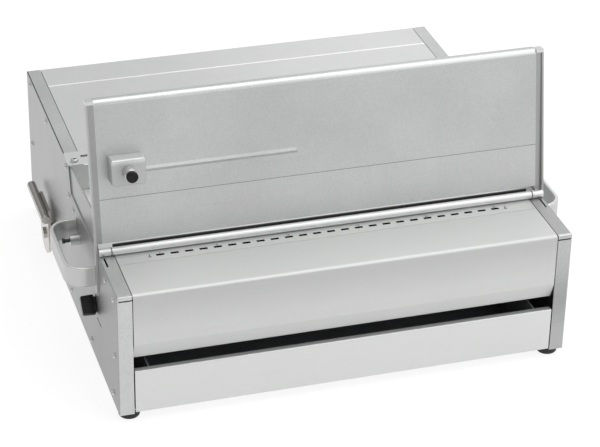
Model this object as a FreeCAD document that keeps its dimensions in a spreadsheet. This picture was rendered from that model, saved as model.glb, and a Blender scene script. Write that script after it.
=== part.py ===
import FreeCAD, Part
import math
import os

import Sketcher

# Heavy-duty electric punch for comb binding.
# Millimetres, +Z up. The origin is on the table, under the middle of the case.
# -Y is the front, where the chip drawer is; the sheets stand in a throat behind the front cover.

doc = FreeCAD.newDocument("HolePunch")
sheet = doc.addObject("Spreadsheet::Sheet", "Sizes")

SIZES = (
    # The case
    ("body_width", 456.0, "outer face to outer face of the side panels"),
    ("body_depth", 436.0, "front face to rear edge"),
    ("foot_height", 8.0, "table to the underside of the case"),
    ("low_height", 132.0, "underside to the top of the front part"),
    ("tall_height", 160.0, "underside to the top of the rear box"),
    ("box_front", 217.0, "front face to the front of the rear box, at its top"),
    ("box_slant", 10.0, "how far the rear box's front edge leans forward at its foot"),
    ("sheet", 1.5, "thickness of the case's sheet metal"),
    ("flange", 14.6, "width of the side panels' flanges"),
    ("fit", 0.3, "clearance between neighbouring pieces"),
    ("play", 0.1, "gap between pieces that are pushed together"),
    ("die_seat", 0.2, "gap under and beside the pieces of the die set"),
    ("bend", 1.3, "outer radius of a folded edge"),
    ("lip", 4.0, "height of the fold at the front of the top flange"),
    ("lip_gap", 1.4, "dark gap between that fold and the front post"),
    ("top_flange_end", 77.0, "front face to the end of the front top flange"),
    ("strip_start", 240.0, "front face to the front end of the rear box's top flanges"),
    ("rail_lead", 5.0, "how far the cross rail stands before the rear box's top"),
    ("rail_depth", 17.0, "depth of the cross rail"),
    ("tab_slot_x", 223.5, "middle plane to the tab slots in the top flanges"),
    ("tab_slot_width", 1.8, "width of a tab slot"),
    ("base_thickness", 2.0, "thickness of the base plate"),
    ("foot_radius", 10.5, "radius of a rubber foot"),
    ("foot_inset_x", 12.0, "side panel's face to a foot's centre"),
    ("foot_inset_y", 13.0, "front face to a front foot's centre"),
    # Front cover, scale strip and throat
    ("seam", 57.3, "front face to the seam between cover and scale strip"),
    ("cover_end_gap", 0.8, "side panel's flange to the front cover's end"),
    ("cover_fold", 4.0, "outer radius of the front cover's upper fold"),
    ("cover_crease", 77.0, "underside of the case to the front cover's lower crease"),
    ("cover_return", 6.0, "how far the cover's lower band is bent inwards"),
    ("cover_bottom", 60.5, "underside of the case to the cover's lower edge"),
    ("throat_front", 82.5, "front face to the throat's front wall"),
    ("throat_gap", 2.4, "width of the paper throat"),
    ("bar_radius", 4.0, "radius of the round bar at the throat's front lip"),
    ("bar_end", 12.0, "length of each end piece of that bar"),
    ("bar_inset", 0.5, "side panel's face to the end of that bar"),
    # Backrest, in its own leaning frame
    ("backrest_from_front", 84.2, "front face to the backrest's plane at throat level"),
    ("lean_slope", 0.1666, "how far the backrest leans back for each unit of height"),
    ("backrest_low", 9.5, "throat level to the backrest's lower edge"),
    ("backrest_joint", 53.6, "throat level to the joint between throat plate and upper panel"),
    ("backrest_top", 152.5, "throat level to the backrest's top edge"),
    ("backrest_fold", 4.5, "outer radius of the backrest's top fold"),
    ("backrest_return", 10.0, "depth of the backrest's top return"),
    ("end_bar_width", 5.5, "width of the bars at the backrest's ends"),
    ("end_bar_depth", 8.6, "depth of the bars at the backrest's ends"),
    ("strap_width", 7.4, "width of the strap outside each end bar"),
    ("strap_thickness", 2.0, "thickness of that strap"),
    ("strap_low", 87.0, "underside of the case to the left strap's lower end"),
    # Edge guide
    ("guide_inset", 32.0, "left side panel's face to the edge guide's centre"),
    ("guide_width", 33.0, "length of the guide block"),
    ("guide_low", 71.5, "throat level to the guide block's underside"),
    ("guide_tall", 26.0, "height of the guide block"),
    ("guide_thick", 18.0, "thickness of the guide block"),
    ("slot_level", 77.9, "throat level to the middle of the guide's slot"),
    ("slot_height", 2.2, "height of the guide's slot"),
    ("slot_lead", 4.0, "edge guide's centre to the left end of its slot"),
    ("slot_length", 174.2, "length of the guide's slot"),
    ("knob_radius", 6.5, "radius of the guide's clamp knob"),
    ("knob_length", 12.0, "length of the clamp knob"),
    ("cap_radius", 5.6, "radius of the black cap on the clamp knob"),
    ("stud_radius", 1.9, "radius of the clamp stud"),
    ("shaft_play", 0.06, "radial play of a shaft in its bore"),
    # Carrying handles
    ("handle_front", 88.0, "front face to a handle's front leg"),
    ("handle_length", 100.0, "length of a handle along the case"),
    ("handle_reach", 29.5, "how far a handle stands out"),
    ("handle_low", 94.0, "underside of the case to a handle's lower edge"),
    ("handle_tall", 21.0, "height of a handle's band"),
    ("handle_thick", 4.0, "thickness of a handle's band"),
    ("handle_corner", 20.0, "outer corner radius of a handle"),
    # Margin dial and paper stop
    ("dial_from_front", 98.5, "front face to the dial's axis"),
    ("dial_level", 66.7, "underside of the case to the dial's axis"),
    ("dial_radius", 10.2, "radius of the dial"),
    ("dial_length", 14.5, "length of the dial"),
    ("dial_shaft_radius", 4.0, "radius of the dial's shaft"),
    ("cam_low", 9.0, "snail cam's lift at rest"),
    ("cam_rise", 4.0, "rise of the snail cam over its turn"),
    ("cam_turn", 270.0, "turn of the snail cam in degrees"),
    ("cam_width", 5.0, "width of the snail cam"),
    # Die set
    ("hole_pitch", 14.2875, "pitch of the punched holes"),
    ("pin_width", 8.0, "width of a punch pin"),
    ("pin_thick", 3.0, "thickness of a punch pin"),
    ("pin_play", 0.05, "play round a pin in its guide"),
    ("pin_length", 41.0, "length of a punch pin's shank"),
    ("pin_level", 78.0, "underside of the case to the middle of the pins"),
    ("head_thick", 4.0, "thickness of a pin's head"),
    ("head_tall", 7.0, "height of a pin's head"),
    ("die_end_gap", 13.5, "frame cheek's inner face to the end of the die plates"),
    ("die_low", 54.0, "underside of the case to the die plates' lower edge"),
    ("die_tall", 38.0, "height of the die plates"),
    ("die_front_thick", 10.0, "thickness of the front die plate"),
    ("die_guide_thick", 12.0, "thickness of the rear guide plate"),
    ("stop_below", 6.0, "pin centre line to the paper stop's top edge"),
    ("stop_tall", 8.0, "height of the paper stop"),
    ("window_low", 52.3, "underside of the case to the die window's lower edge"),
    ("window_tall", 41.2, "height of the die window"),
    ("window_rear", 131.5, "front face to the die window's rear edge"),
    # Punch frame and drive
    ("cheek_inset", 28.5, "side panel's face to a frame cheek's inner face"),
    ("cheek_thick", 10.0, "thickness of a frame cheek"),
    ("cheek_front", 68.0, "front face to the frame cheeks' front edge"),
    ("cheek_rear", 238.0, "front face to the frame cheeks' rear edge"),
    ("ram_front", 123.0, "front face to the ram's front"),
    ("ram_depth", 30.0, "depth of the ram"),
    ("ram_end_gap", 9.5, "frame cheek's inner face to the end of the ram"),
    ("ram_tall", 28.0, "height of the ram"),
    ("tongue_tall", 12.0, "height of the ram's end tongues"),
    ("tongue_inset", 10.0, "ram's front to the tongues' front"),
    ("tongue_depth", 17.0, "depth of the ram's end tongues"),
    ("tongue_length", 6.5, "how far a tongue reaches into its cheek"),
    ("stroke", 10.0, "travel of the ram"),
    ("pusher_x", 120.0, "middle plane to the ram's pushers"),
    ("pusher_length", 43.0, "length of the ram's pushers"),
    ("lash", 1.15, "gap between eccentric and pusher at rest"),
    ("shaft_radius", 10.0, "radius of the drive shaft"),
    ("eccentric_radius", 20.0, "radius of an eccentric"),
    ("eccentric_width", 16.0, "width of an eccentric"),
    ("bearing_radius", 16.0, "outer radius of the drive shaft's bearings"),
    ("spring_radius", 4.0, "outer radius of a return spring"),
    ("spring_wire", 0.7, "wire radius of a return spring"),
    ("spring_inset", 49.5, "frame cheek's inner face to a return spring"),
    ("input_from_front", 268.0, "front face to the gearbox's input shaft"),
    ("input_level", 54.0, "underside of the case to that shaft"),
    ("flywheel_radius", 46.0, "radius of the flywheel"),
    ("flywheel_width", 20.0, "width of the flywheel"),
    ("flywheel_x", 6.0, "middle plane to the flywheel's left face"),
    ("motor_from_rear", 58.0, "rear edge to the motor's axis"),
    ("motor_level", 58.0, "underside of the case to the motor's axis"),
    ("motor_radius", 45.0, "radius of the motor"),
    ("motor_length", 130.0, "length of the motor"),
    ("pulley_radius", 15.0, "radius of the motor's pulley"),
    ("belt_width", 12.0, "width of the drive belt"),
    ("belt_thick", 3.0, "thickness of the drive belt"),
    # Chip drawer
    ("drawer_top", 48.0, "underside of the case to the drawer front's top edge"),
    ("drawer_end_gap", 1.2, "side panel's flange to the drawer front's end"),
    ("drawer_fold", 6.0, "depth of the drawer front's top return"),
    ("tray_end_gap", 14.5, "drawer front's end to the side of the chip tray"),
    ("tray_depth", 146.0, "front to rear of the chip tray"),
    ("tray_top", 46.0, "underside of the case to the chip tray's rim"),
    # Release lever and plunger on the left side
    ("lever_from_front", 322.0, "front face to the lever's pivot"),
    ("lever_level", 24.0, "underside of the case to the lever's pivot"),
    ("lever_arm", 33.0, "pivot to the lever's round bar"),
    ("lever_plate_radius", 22.0, "radius of the lever plate's round end"),
    ("lever_plate_thick", 3.0, "thickness of the lever plate"),
    ("lever_bar_front", 290.0, "front face to the round bar's front end"),
    ("lever_bar_length", 80.0, "length of the round bar"),
    ("lever_bar_radius", 5.0, "radius of the round bar"),
    ("lever_bush", 5.0, "length of the bush between side panel and lever"),
    ("plunger_from_front", 172.0, "front face to the plunger's axis"),
    ("plunger_level", 99.0, "underside of the case to the plunger's axis"),
    ("plunger_radius", 2.0, "radius of the plunger's shank"),
    ("plunger_barrel", 9.5, "length of the plunger's barrel outside the panel"),
    ("plunger_pull", 5.0, "travel of the plunger"),
    # Rear panel fittings
    ("rear_inset", 1.5, "rear edge of the case to the rear panel's outer face"),
    ("switch_radius", 11.0, "radius of the rocker about its pivot"),
    ("fitting_level", 34.0, "underside of the case to the middle of the rear fittings"),
    # Fasteners
    ("screw_radius", 3.0, "radius of a panel screw's head"),
    ("screw_height", 1.6, "height of a panel screw's head"),
    # Base, deck, rail and covers
    ("base_front", 4.0, "front face to the base plate's front edge"),
    ("foot_round", 2.0, "rounding of a foot's lower edge"),
    ("rail_rear_low", 142.0, "underside of the case to the rail's rear wall"),
    ("rail_tab_end", 239.6, "front face to the rear end of the rail's tabs"),
    ("rail_tab_thick", 1.2, "thickness of the rail's tabs"),
    ("rail_screw_radius", 4.0, "radius of the two large screws on the rail's tabs"),
    ("rail_screw_height", 3.0, "height of those screws"),
    ("rail_screw_from_front", 219.9, "front face to those screws"),
    ("cover_front", 233.0, "front face to the rear cover's front edge"),
    ("cover_lip", 12.0, "depth of the rear cover's front lip"),
    ("cover_seam", 42.0, "rear edge to the pressed line across the rear cover"),
    ("cover_edge", 0.4, "rear edge of the case to the rear cover's rear edge"),
    ("vent_left", 60.0, "middle plane to the first rear vent slot"),
    ("vent_pitch", 17.0, "pitch of the rear vent slots"),
    ("vent_width", 5.0, "width of a rear vent slot"),
    ("vent_low", 32.0, "underside of the case to the vent slots' lower ends"),
    ("vent_tall", 80.0, "height of a rear vent slot"),
    # Die set details
    ("hole_margin", 15.9, "die's left end to the leftmost punched hole"),
    ("hole_end", 13.0, "least distance from the last punched hole to the die's right end"),
    ("die_play", 0.15, "play round a pin in the front die plate"),
    ("bed_thick", 6.8, "height of the die bed"),
    ("bed_depth", 13.0, "depth of the die bed"),
    ("spacer_tall", 9.8, "height of the spacer between the die plates"),
    ("pull_low", 58.0, "underside of the case to the die pull's arm"),
    ("pull_tall", 30.0, "height of the die pull's arm"),
    ("pull_depth", 17.0, "depth of the die pull's arm"),
    ("pull_cover_thick", 2.5, "thickness of the plate that covers the die window"),
    ("pull_cover_low", 50.8, "underside of the case to that plate"),
    ("pull_cover_tall", 42.2, "height of that plate"),
    ("pull_tab", 15.0, "how far the pull tab stands out"),
    ("slot_mouth", 3.6, "height of the narrow part of the ram's slot"),
    ("slot_cavity", 8.0, "height of the wide part of the ram's slot"),
    ("stop_overhang", 1.0, "left end of the die plates to the paper stop's end"),
    ("stop_end_gap", 6.0, "right end of the die plates to the paper stop's end"),
    ("stop_link_rear", 111.0, "front face to the rear of the stop's link"),
    ("stop_foot_depth", 17.0, "depth of the stop's foot above the dial's axis"),
    ("stop_link_top", 86.0, "underside of the case to the top of the stop's link"),
    ("pusher_width", 20.0, "width of a ram pusher"),
    ("pusher_tall", 20.0, "height of a ram pusher"),
    ("post_width", 8.0, "width of a spring post"),
    ("post_depth", 6.0, "depth of a spring post"),
    ("post_tall", 10.0, "height of a spring post"),
    ("spring_level", 97.0, "underside of the case to the return springs"),
    ("spring_length", 42.0, "length of a return spring at rest"),
    ("bracket_length", 59.4, "length of a spring bracket"),
    ("bracket_depth", 8.0, "depth of a spring bracket"),
    ("bracket_tall", 12.0, "height of a spring bracket"),
    ("shaft_inset", 16.0, "side panel's face to the end of the drive shaft"),
    # Gearbox, motor and board
    ("gearbox_left", -60.0, "middle plane to the gearbox's left face"),
    ("gearbox_right", -5.0, "middle plane to the gearbox's right face"),
    ("gearbox_front", 173.0, "front face to the gearbox's front"),
    ("gearbox_depth", 130.0, "depth of the gearbox"),
    ("gearbox_top", 117.0, "underside of the case to the gearbox's top"),
    ("gearbox_edge", 6.0, "rounding of the gearbox's upright edges"),
    ("axle_radius", 6.0, "radius of the flywheel's axle and the motor's shaft"),
    ("axle_length", 50.0, "length of the flywheel's axle"),
    ("axle_depth", 15.0, "how far an axle reaches into the gearbox or motor"),
    ("rim_depth", 4.0, "depth of the recess in each face of the flywheel"),
    ("rim_width", 10.0, "width of the flywheel's rim"),
    ("hub_radius", 14.0, "radius of the flywheel's hub"),
    ("motor_left", 34.0, "middle plane to the motor's left end"),
    ("motor_foot_inset", 16.0, "motor's end to its feet"),
    ("motor_foot_depth", 74.0, "depth over the motor's feet"),
    ("motor_foot_tall", 6.0, "height of the motor's feet"),
    ("saddle_depth", 40.0, "depth of the motor's saddle"),
    ("board_inset", 38.0, "left side panel's face to the control board's edge"),
    ("board_size", 100.0, "length of the control board's sides"),
    ("board_from_rear", 118.0, "rear edge to the control board's front edge"),
    ("board_level", 14.0, "underside of the case to the control board"),
    ("board_thick", 1.6, "thickness of the control board"),
    ("standoff_radius", 3.0, "radius of the control board's standoffs"),
    ("standoff_inset", 6.0, "control board's edge to a standoff"),
    ("relay_tall", 18.0, "height of the parts on the control board"),
    # Rear fittings
    ("inlet_x", -166.0, "middle plane to the power inlet"),
    ("inlet_width", 28.0, "width of the power inlet's body"),
    ("inlet_tall", 24.0, "height of the power inlet's body"),
    ("inlet_depth", 20.5, "depth of the power inlet's body"),
    ("inlet_rim", 6.0, "width of the power inlet's flange at each side"),
    ("recess_width", 22.0, "width of the inlet's recess"),
    ("recess_tall", 14.0, "height of the inlet's recess"),
    ("recess_depth", 16.0, "depth of the inlet's recess"),
    ("contact_size", 2.0, "size of an inlet contact"),
    ("contact_length", 13.0, "length of an inlet contact"),
    ("contact_pitch", 7.0, "pitch of the inlet contacts"),
    ("switch_x", -126.0, "middle plane to the switch"),
    ("switch_width", 20.0, "width of the switch housing"),
    ("switch_tall", 30.0, "height of the switch housing"),
    ("switch_depth", 22.0, "depth of the switch housing"),
    ("rocker_width", 13.0, "width of the rocker"),
    ("rocker_tilt", 8.0, "tilt of the rocker at rest, in degrees"),
    ("rocker_back", 9.0, "rear edge of the case to the rocker's pivot"),
    ("socket_x", -92.0, "middle plane to the pedal socket"),
    ("socket_radius", 9.0, "radius of the pedal socket's rim"),
    ("socket_bore", 3.2, "radius of the pedal socket's hole"),
    ("fitting_depth", 16.0, "depth of the pedal socket behind the panel"),
    # Lengths of small features
    ("edge", 1.0, "rounding of small pieces' edges"),
    ("line_width", 1.0, "width of a pressed or printed line"),
    ("cover_gap", 0.6, "side panel's flange to the rear cover's end"),
    ("guide_edge", 1.6, "rounding of the guide block's edges"),
    ("pull_cover_depth", 68.0, "depth of the plate that covers the die window"),
    ("pull_tab_depth", 30.0, "depth of the pull tab"),
    ("pull_tab_thick", 3.0, "thickness of the pull tab"),
    ("stop_link_thick", 3.3, "thickness of the stop's link"),
    ("stop_foot_width", 6.0, "width of the stop's foot"),
    ("relay_width", 20.0, "width of the parts on the control board"),
    ("pivot_reach", 6.0, "how far the lever's pivot reaches into the case"),
    ("pivot_head", 2.4, "height of the screw head on the lever's pivot"),
    ("bush_radius", 9.0, "radius of the lever's bush"),
    ("barrel_radius", 5.5, "radius of the plunger's barrel"),
    ("pull_knob_gap", 5.0, "gap between the plunger's barrel and knob"),
    ("pull_knob_length", 3.0, "length of the plunger's knob"),
    ("pull_knob_radius", 2.8, "radius of the plunger's knob"),
    ("fitting_rim", 2.0, "width of the rims on the rear fittings"),
    ("gusset_top", 36.0, "throat level to the front of a gusset's top edge"),
    ("gusset_overlap", 20.0, "how far a gusset reaches down inside its side panel"),
    ("clamp_thick", 4.0, "thickness of the guide's clamp plate"),
    ("clamp_width", 20.0, "width of the guide's clamp plate"),
    ("cap_length", 4.0, "length of the black cap on the clamp knob"),
    ("handle_edge", 1.5, "rounding of a handle band's edges"),
    ("tab_slot_length", 17.5, "length of a tab slot"),
    ("window_front", 70.0, "front face to the die window's front edge"),
    ("pointer_length", 18.0, "length of the dial's pointer line"),
    ("pointer_drop", 12.8, "dial's axis down to the pointer line"),
    ("pivot_radius", 5.0, "radius of the lever's pivot"),
    ("guide_rise", 7.5, "top of the case to the throat guide's top edge"),
    ("cap_height", 3.6, "height of the caps on the backrest's end bars"),
    ("strap_lead", 3.7, "how far the straps stand before the backrest's plane"),
)

for row, (alias, number, meaning) in enumerate(SIZES, 1):
    sheet.set("A%d" % row, alias)
    sheet.set("B%d" % row, str(number))
    sheet.setAlias("B%d" % row, alias)
    sheet.set("C%d" % row, meaning)
doc.recompute()


class Term:
    """A number worked out from the sheet, together with the expression that gives it."""

    def __init__(self, number, text):
        self.number = number
        self.text = text

    def __add__(self, other):
        other = term(other)
        return Term(self.number + other.number, "(%s + %s)" % (self.text, other.text))

    def __sub__(self, other):
        other = term(other)
        return Term(self.number - other.number, "(%s - %s)" % (self.text, other.text))

    def __mul__(self, other):
        other = term(other)
        return Term(self.number * other.number, "(%s * %s)" % (self.text, other.text))

    def __truediv__(self, other):
        other = term(other)
        return Term(self.number / other.number, "(%s / %s)" % (self.text, other.text))

    def __neg__(self):
        return Term(-self.number, "(-%s)" % self.text)


def term(value):
    return value if isinstance(value, Term) else Term(float(value), "(%r)" % float(value))


class Sizes:
    """The sheet's values by name."""


s = Sizes()
for alias, number, meaning in SIZES:
    setattr(s, alias, Term(float(sheet.get(alias)), "Sizes.%s" % alias))

# Places that many pieces share
front = -s.body_depth / 2
rear = s.body_depth / 2
half = s.body_width / 2
cover_half = half - s.flange - s.cover_end_gap
drawer_half = half - s.flange - s.drawer_end_gap
cheek_inner = half - s.cheek_inset
die_half = cheek_inner - s.die_end_gap
guide_x = s.guide_inset - half
inner = half - s.flange
web = half - s.sheet
under = s.foot_height
low_top = under + s.low_height
tall_top = under + s.tall_height
box_y = front + s.box_front
base_top = under + s.sheet + s.base_thickness
throat_y = front + s.throat_front
throat_rear = throat_y + s.throat_gap
pin_z = under + s.pin_level
die_bottom = under + s.die_low
die_top = die_bottom + s.die_tall
tip_y = throat_rear + s.fit
head_y = tip_y + s.pin_length
ram_y = front + s.ram_front
shaft_y = ram_y + s.ram_depth + s.pusher_length + s.lash + s.eccentric_radius - s.stroke / 2
dial_y = front + s.dial_from_front
dial_z = under + s.dial_level
deck_y = throat_rear + s.sheet
rail_y = box_y - s.rail_lead

NODES = []


def bind(target, path, value):
    target.setExpression(path, term(value).text)


def place(piece, x, y, z):
    """Put a piece's base point at a place given by terms, and keep its rotation."""
    point = [term(value) for value in (x, y, z)]
    base = FreeCAD.Vector(*[value.number for value in point])
    piece.Placement = FreeCAD.Placement(base, piece.Placement.Rotation)
    for letter, value in zip("xyz", point):
        bind(piece, ".Placement.Base." + letter, value)
    return piece


def box(x, y, z):
    """A block between two values on each axis."""
    piece = doc.addObject("Part::Box", "Block")
    spans = [(term(low), term(high)) for low, high in (x, y, z)]
    for path, (low, high) in zip(("Length", "Width", "Height"), spans):
        bind(piece, path, high - low)
    return place(piece, *[low for low, high in spans])


def slab(size, y, z):
    """A block centred on the middle plane, with half its length given."""
    return box((-term(size), term(size)), y, z)


TURNS = {
    "x": FreeCAD.Rotation(FreeCAD.Vector(0, 1, 0), 90),
    "y": FreeCAD.Rotation(FreeCAD.Vector(1, 0, 0), -90),
    "z": FreeCAD.Rotation(),
}


def rod(axis, x, y, z, length, radius):
    """A cylinder that starts at a point and runs along an axis."""
    piece = doc.addObject("Part::Cylinder", "Rod")
    bind(piece, "Radius", radius)
    bind(piece, "Height", length)
    piece.Placement.Rotation = TURNS[axis]
    return place(piece, x, y, z)


def fuse(*pieces):
    joined = doc.addObject("Part::MultiFuse", "Joined")
    joined.Shapes = list(pieces)
    joined.Refine = True
    return joined


def group(*pieces):
    together = doc.addObject("Part::Compound", "Together")
    together.Links = list(pieces)
    return together


def cut(base, *tools):
    piece = doc.addObject("Part::Cut", "Shaped")
    piece.Base = base
    piece.Tool = tools[0] if len(tools) == 1 else fuse(*tools)
    return piece


def common(first, second):
    piece = doc.addObject("Part::MultiCommon", "Shared")
    piece.Shapes = [first, second]
    return piece


def mirrored(source):
    """The same piece on the other side of the machine."""
    piece = doc.addObject("Part::Mirroring", "Mirrored")
    piece.Source = source
    piece.Normal = FreeCAD.Vector(1, 0, 0)
    return piece


def rounded(base, radius, chosen):
    """Round the edges for which chosen(edge's bounding box) is true."""
    doc.recompute()
    piece = doc.addObject("Part::Fillet", "Rounded")
    piece.Base = base
    radius = term(radius).number
    edges = enumerate(base.Shape.Edges, 1)
    piece.Edges = [(index, radius, radius) for index, edge in edges if chosen(edge.BoundBox)]
    return piece


def near(value, wanted):
    return abs(value - term(wanted).number) < 1e-4


def flat(box_, axis, wanted):
    """True for an edge that lies wholly at one value of an axis."""
    low, high = (getattr(box_, axis.upper() + end) for end in ("Min", "Max"))
    return near(low, wanted) and near(high, wanted)


def outlined(plane, points, start, length):
    """A body padded from an outline with straight edges, from start along the plane's normal."""
    body = doc.addObject("PartDesign::Body", "Body")
    sketch = body.newObject("Sketcher::SketchObject", "Outline")
    support = next(item for item in body.Origin.OriginFeatures if item.Role == plane)
    sketch.AttachmentSupport = [(support, "")]
    sketch.MapMode = "FlatFace"
    bind(sketch, ".AttachmentOffset.Base.z", start)
    points = [(term(across), term(up)) for across, up in points]
    corners = [FreeCAD.Vector(across.number, up.number) for across, up in points]
    count = len(points)
    for index in range(count):
        sketch.addGeometry(Part.LineSegment(corners[index], corners[(index + 1) % count]), False)
    for index in range(count):
        follower = (index + 1) % count
        sketch.addConstraint(Sketcher.Constraint("Coincident", index, 2, follower, 1))
    for index, (across, up) in enumerate(points):
        for kind, value in (("DistanceX", across), ("DistanceY", up)):
            number = sketch.addConstraint(Sketcher.Constraint(kind, -1, 1, index, 1, value.number))
            sketch.setExpression("Constraints[%d]" % number, value.text)
    pad = body.newObject("PartDesign::Pad", "Pad")
    pad.Profile = sketch
    bind(pad, "Length", length)
    doc.recompute()
    return body


def eased(body, radius, chosen):
    """Round a body's edges for which chosen(edge's bounding box) is true."""
    base = body.Tip
    edges = enumerate(base.Shape.Edges, 1)
    names = ["Edge%d" % index for index, edge in edges if chosen(edge.BoundBox)]
    fillet = body.newObject("PartDesign::Fillet", "Fillet")
    fillet.Base = (base, names)
    bind(fillet, "Radius", radius)
    doc.recompute()
    return body


def node(label, piece):
    piece.Label = label
    NODES.append(piece)
    return piece


# ---------------------------------------------------------------- side panels

def side_shell():
    """One folded side panel on the +X side, before its own holes are cut."""
    profile = [
        (front, under), (rear, under), (rear, tall_top), (box_y, tall_top),
        (box_y - s.box_slant, low_top), (front, low_top),
    ]
    plate = outlined("YZ_Plane", profile, web, s.sheet)
    across = (inner, half)
    strip_y = front + s.strip_start
    post = box(across, (front, front + s.sheet), (under, low_top - s.lip - s.lip_gap))
    lip = box(across, (front, front + s.sheet), (low_top - s.lip, low_top))
    top = box(across, (front, front + s.top_flange_end), (low_top - s.sheet, low_top))
    bottom = box(across, (front, rear), (under, under + s.sheet))
    back = box(across, (rear - s.sheet, rear), (under, tall_top))
    strip = box(across, (strip_y, rear), (tall_top - s.sheet, tall_top))
    shell = fuse(plate, post, lip, top, bottom, back, strip)

    def folded(edge):
        if flat(edge, "x", half):
            return flat(edge, "z", low_top) or flat(edge, "z", tall_top) or flat(edge, "y", front)
        return flat(edge, "y", front) and flat(edge, "z", low_top)

    return rounded(shell, s.bend, folded)


def tab_slot():
    """The slot in the front top flange for a tab of the front cover."""
    start = front + s.seam
    reach = s.tab_slot_width / 2
    deep = (low_top - s.sheet * 2, low_top + s.sheet)
    return box((s.tab_slot_x - reach, s.tab_slot_x + reach), (start, start + s.tab_slot_length), deep)


def die_window(x):
    """The opening that the die set slides out through."""
    low = under + s.window_low
    return box(x, (front + s.window_front, front + s.window_rear), (low, low + s.window_tall))


def left_hole(y, z, radius):
    """A round hole through the left side panel."""
    return rod("x", -half - s.fit, y, z, s.sheet + s.fit * 2, radius)


plunger_y = front + s.plunger_from_front
plunger_z = under + s.plunger_level
lever_y = front + s.lever_from_front
lever_z = under + s.lever_level
pointer_y = dial_y - s.dial_radius / 2
pointer_z = dial_z - s.pointer_drop

right_shell = cut(side_shell(), tab_slot())
left_panel = cut(
    mirrored(right_shell),
    left_hole(dial_y, dial_z, s.dial_shaft_radius + s.fit),
    left_hole(plunger_y, plunger_z, s.plunger_radius + s.fit),
    left_hole(lever_y, lever_z, s.pivot_radius + s.fit),
    box((-half - s.fit, -web + s.fit), (pointer_y - s.pointer_length, pointer_y),
        (pointer_z, pointer_z + s.line_width)),
)
node("side_panel_left", left_panel)
node("side_panel_right", cut(right_shell, die_window((web - s.fit, half + s.fit))))


# ---------------------------------------------------------------- front cover and throat

cover_foot = front + s.cover_return
cover_low = under + s.cover_bottom
crease_z = under + s.cover_crease
cover_profile = [
    (front + s.seam, low_top), (front, low_top), (front, crease_z), (cover_foot, cover_low),
    (cover_foot + s.sheet, cover_low), (front + s.sheet, crease_z),
    (front + s.sheet, low_top - s.sheet), (front + s.seam, low_top - s.sheet),
]
cover = outlined("YZ_Plane", cover_profile, -cover_half, cover_half * 2)
eased(cover, s.cover_fold, lambda edge: flat(edge, "y", front) and flat(edge, "z", low_top))
eased(cover, s.cover_fold - s.sheet,
      lambda edge: flat(edge, "y", front + s.sheet) and flat(edge, "z", low_top - s.sheet))
node("front_cover", cover)

wall_half = cheek_inner - s.shaft_play
strip_top = slab(cover_half, (front + s.seam + s.fit, throat_y), (low_top - s.sheet, low_top))
strip_wall = slab(wall_half, (throat_y - s.sheet, throat_y), (die_top + s.fit, low_top))
node("scale_strip", fuse(strip_top, strip_wall))

bar_y = throat_y - s.bar_radius
bar_z = low_top + s.bar_radius
bar_half = half - s.bar_inset - s.bar_end
node("throat_bar", rod("x", -bar_half, bar_y, bar_z, bar_half * 2, s.bar_radius))
bar_left = rod("x", -bar_half - s.bar_end, bar_y, bar_z, s.bar_end, s.bar_radius)
bar_right = rod("x", bar_half, bar_y, bar_z, s.bar_end, s.bar_radius)
node("throat_bar_ends", group(bar_left, bar_right))
guide_wall = slab(wall_half, (throat_rear, deck_y), (die_top + s.fit, low_top + s.guide_rise))
guide_lip = slab(cover_half, (throat_rear, deck_y), (low_top + s.fit, low_top + s.guide_rise))
node("throat_guide", fuse(guide_wall, guide_lip))


# ---------------------------------------------------------------- backrest

lean_degrees = Term(math.degrees(math.atan(s.lean_slope.number)), "atan(Sizes.lean_slope)")
lean_long = Term(math.sqrt(1 + s.lean_slope.number ** 2), "sqrt(1 + Sizes.lean_slope ^ 2)")
lean_cos = term(1) / lean_long
lean_sin = s.lean_slope / lean_long
lean_y = front + s.backrest_from_front


def on_lean(y, z):
    """A point of the backrest's leaning frame as the case's own Y and Z."""
    return lean_y + z * lean_sin + y * lean_cos, low_top + z * lean_cos - y * lean_sin


def turned(piece, side, angle, x, y, z):
    """Turn a piece about X, forwards (-1) or backwards (1), and put its base point at a place."""
    turn = FreeCAD.Rotation(FreeCAD.Vector(side, 0, 0), angle.number)
    piece.Placement = FreeCAD.Placement(FreeCAD.Vector(), turn)
    bind(piece, ".Placement.Rotation.Angle", angle)
    return place(piece, x, y, z)


def leaning(piece, x, y, z):
    """Stand a block or body at a point of the leaning frame."""
    return turned(piece, -1, lean_degrees, x, *on_lean(term(y), term(z)))


def lean_box(x, y, z):
    return leaning(box(x, y, z), x[0], y[0], z[0])


def lean_rod(x, y, z, length, radius):
    """A cylinder that starts at a point of the leaning frame and points out of the backrest."""
    piece = doc.addObject("Part::Cylinder", "Rod")
    bind(piece, "Radius", radius)
    bind(piece, "Height", length)
    return turned(piece, 1, Term(90.0, "90 deg") - lean_degrees, x, *on_lean(term(y), term(z)))


panel_half = half - s.end_bar_width - s.shaft_play
throat_profile = [
    (0, s.backrest_low), (0, s.backrest_joint), (s.sheet, s.backrest_joint), (s.sheet, s.backrest_low),
]
throat_plate = outlined("YZ_Plane", throat_profile, -panel_half, panel_half * 2)
node("throat_plate", leaning(throat_plate, 0, 0, 0))

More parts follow.
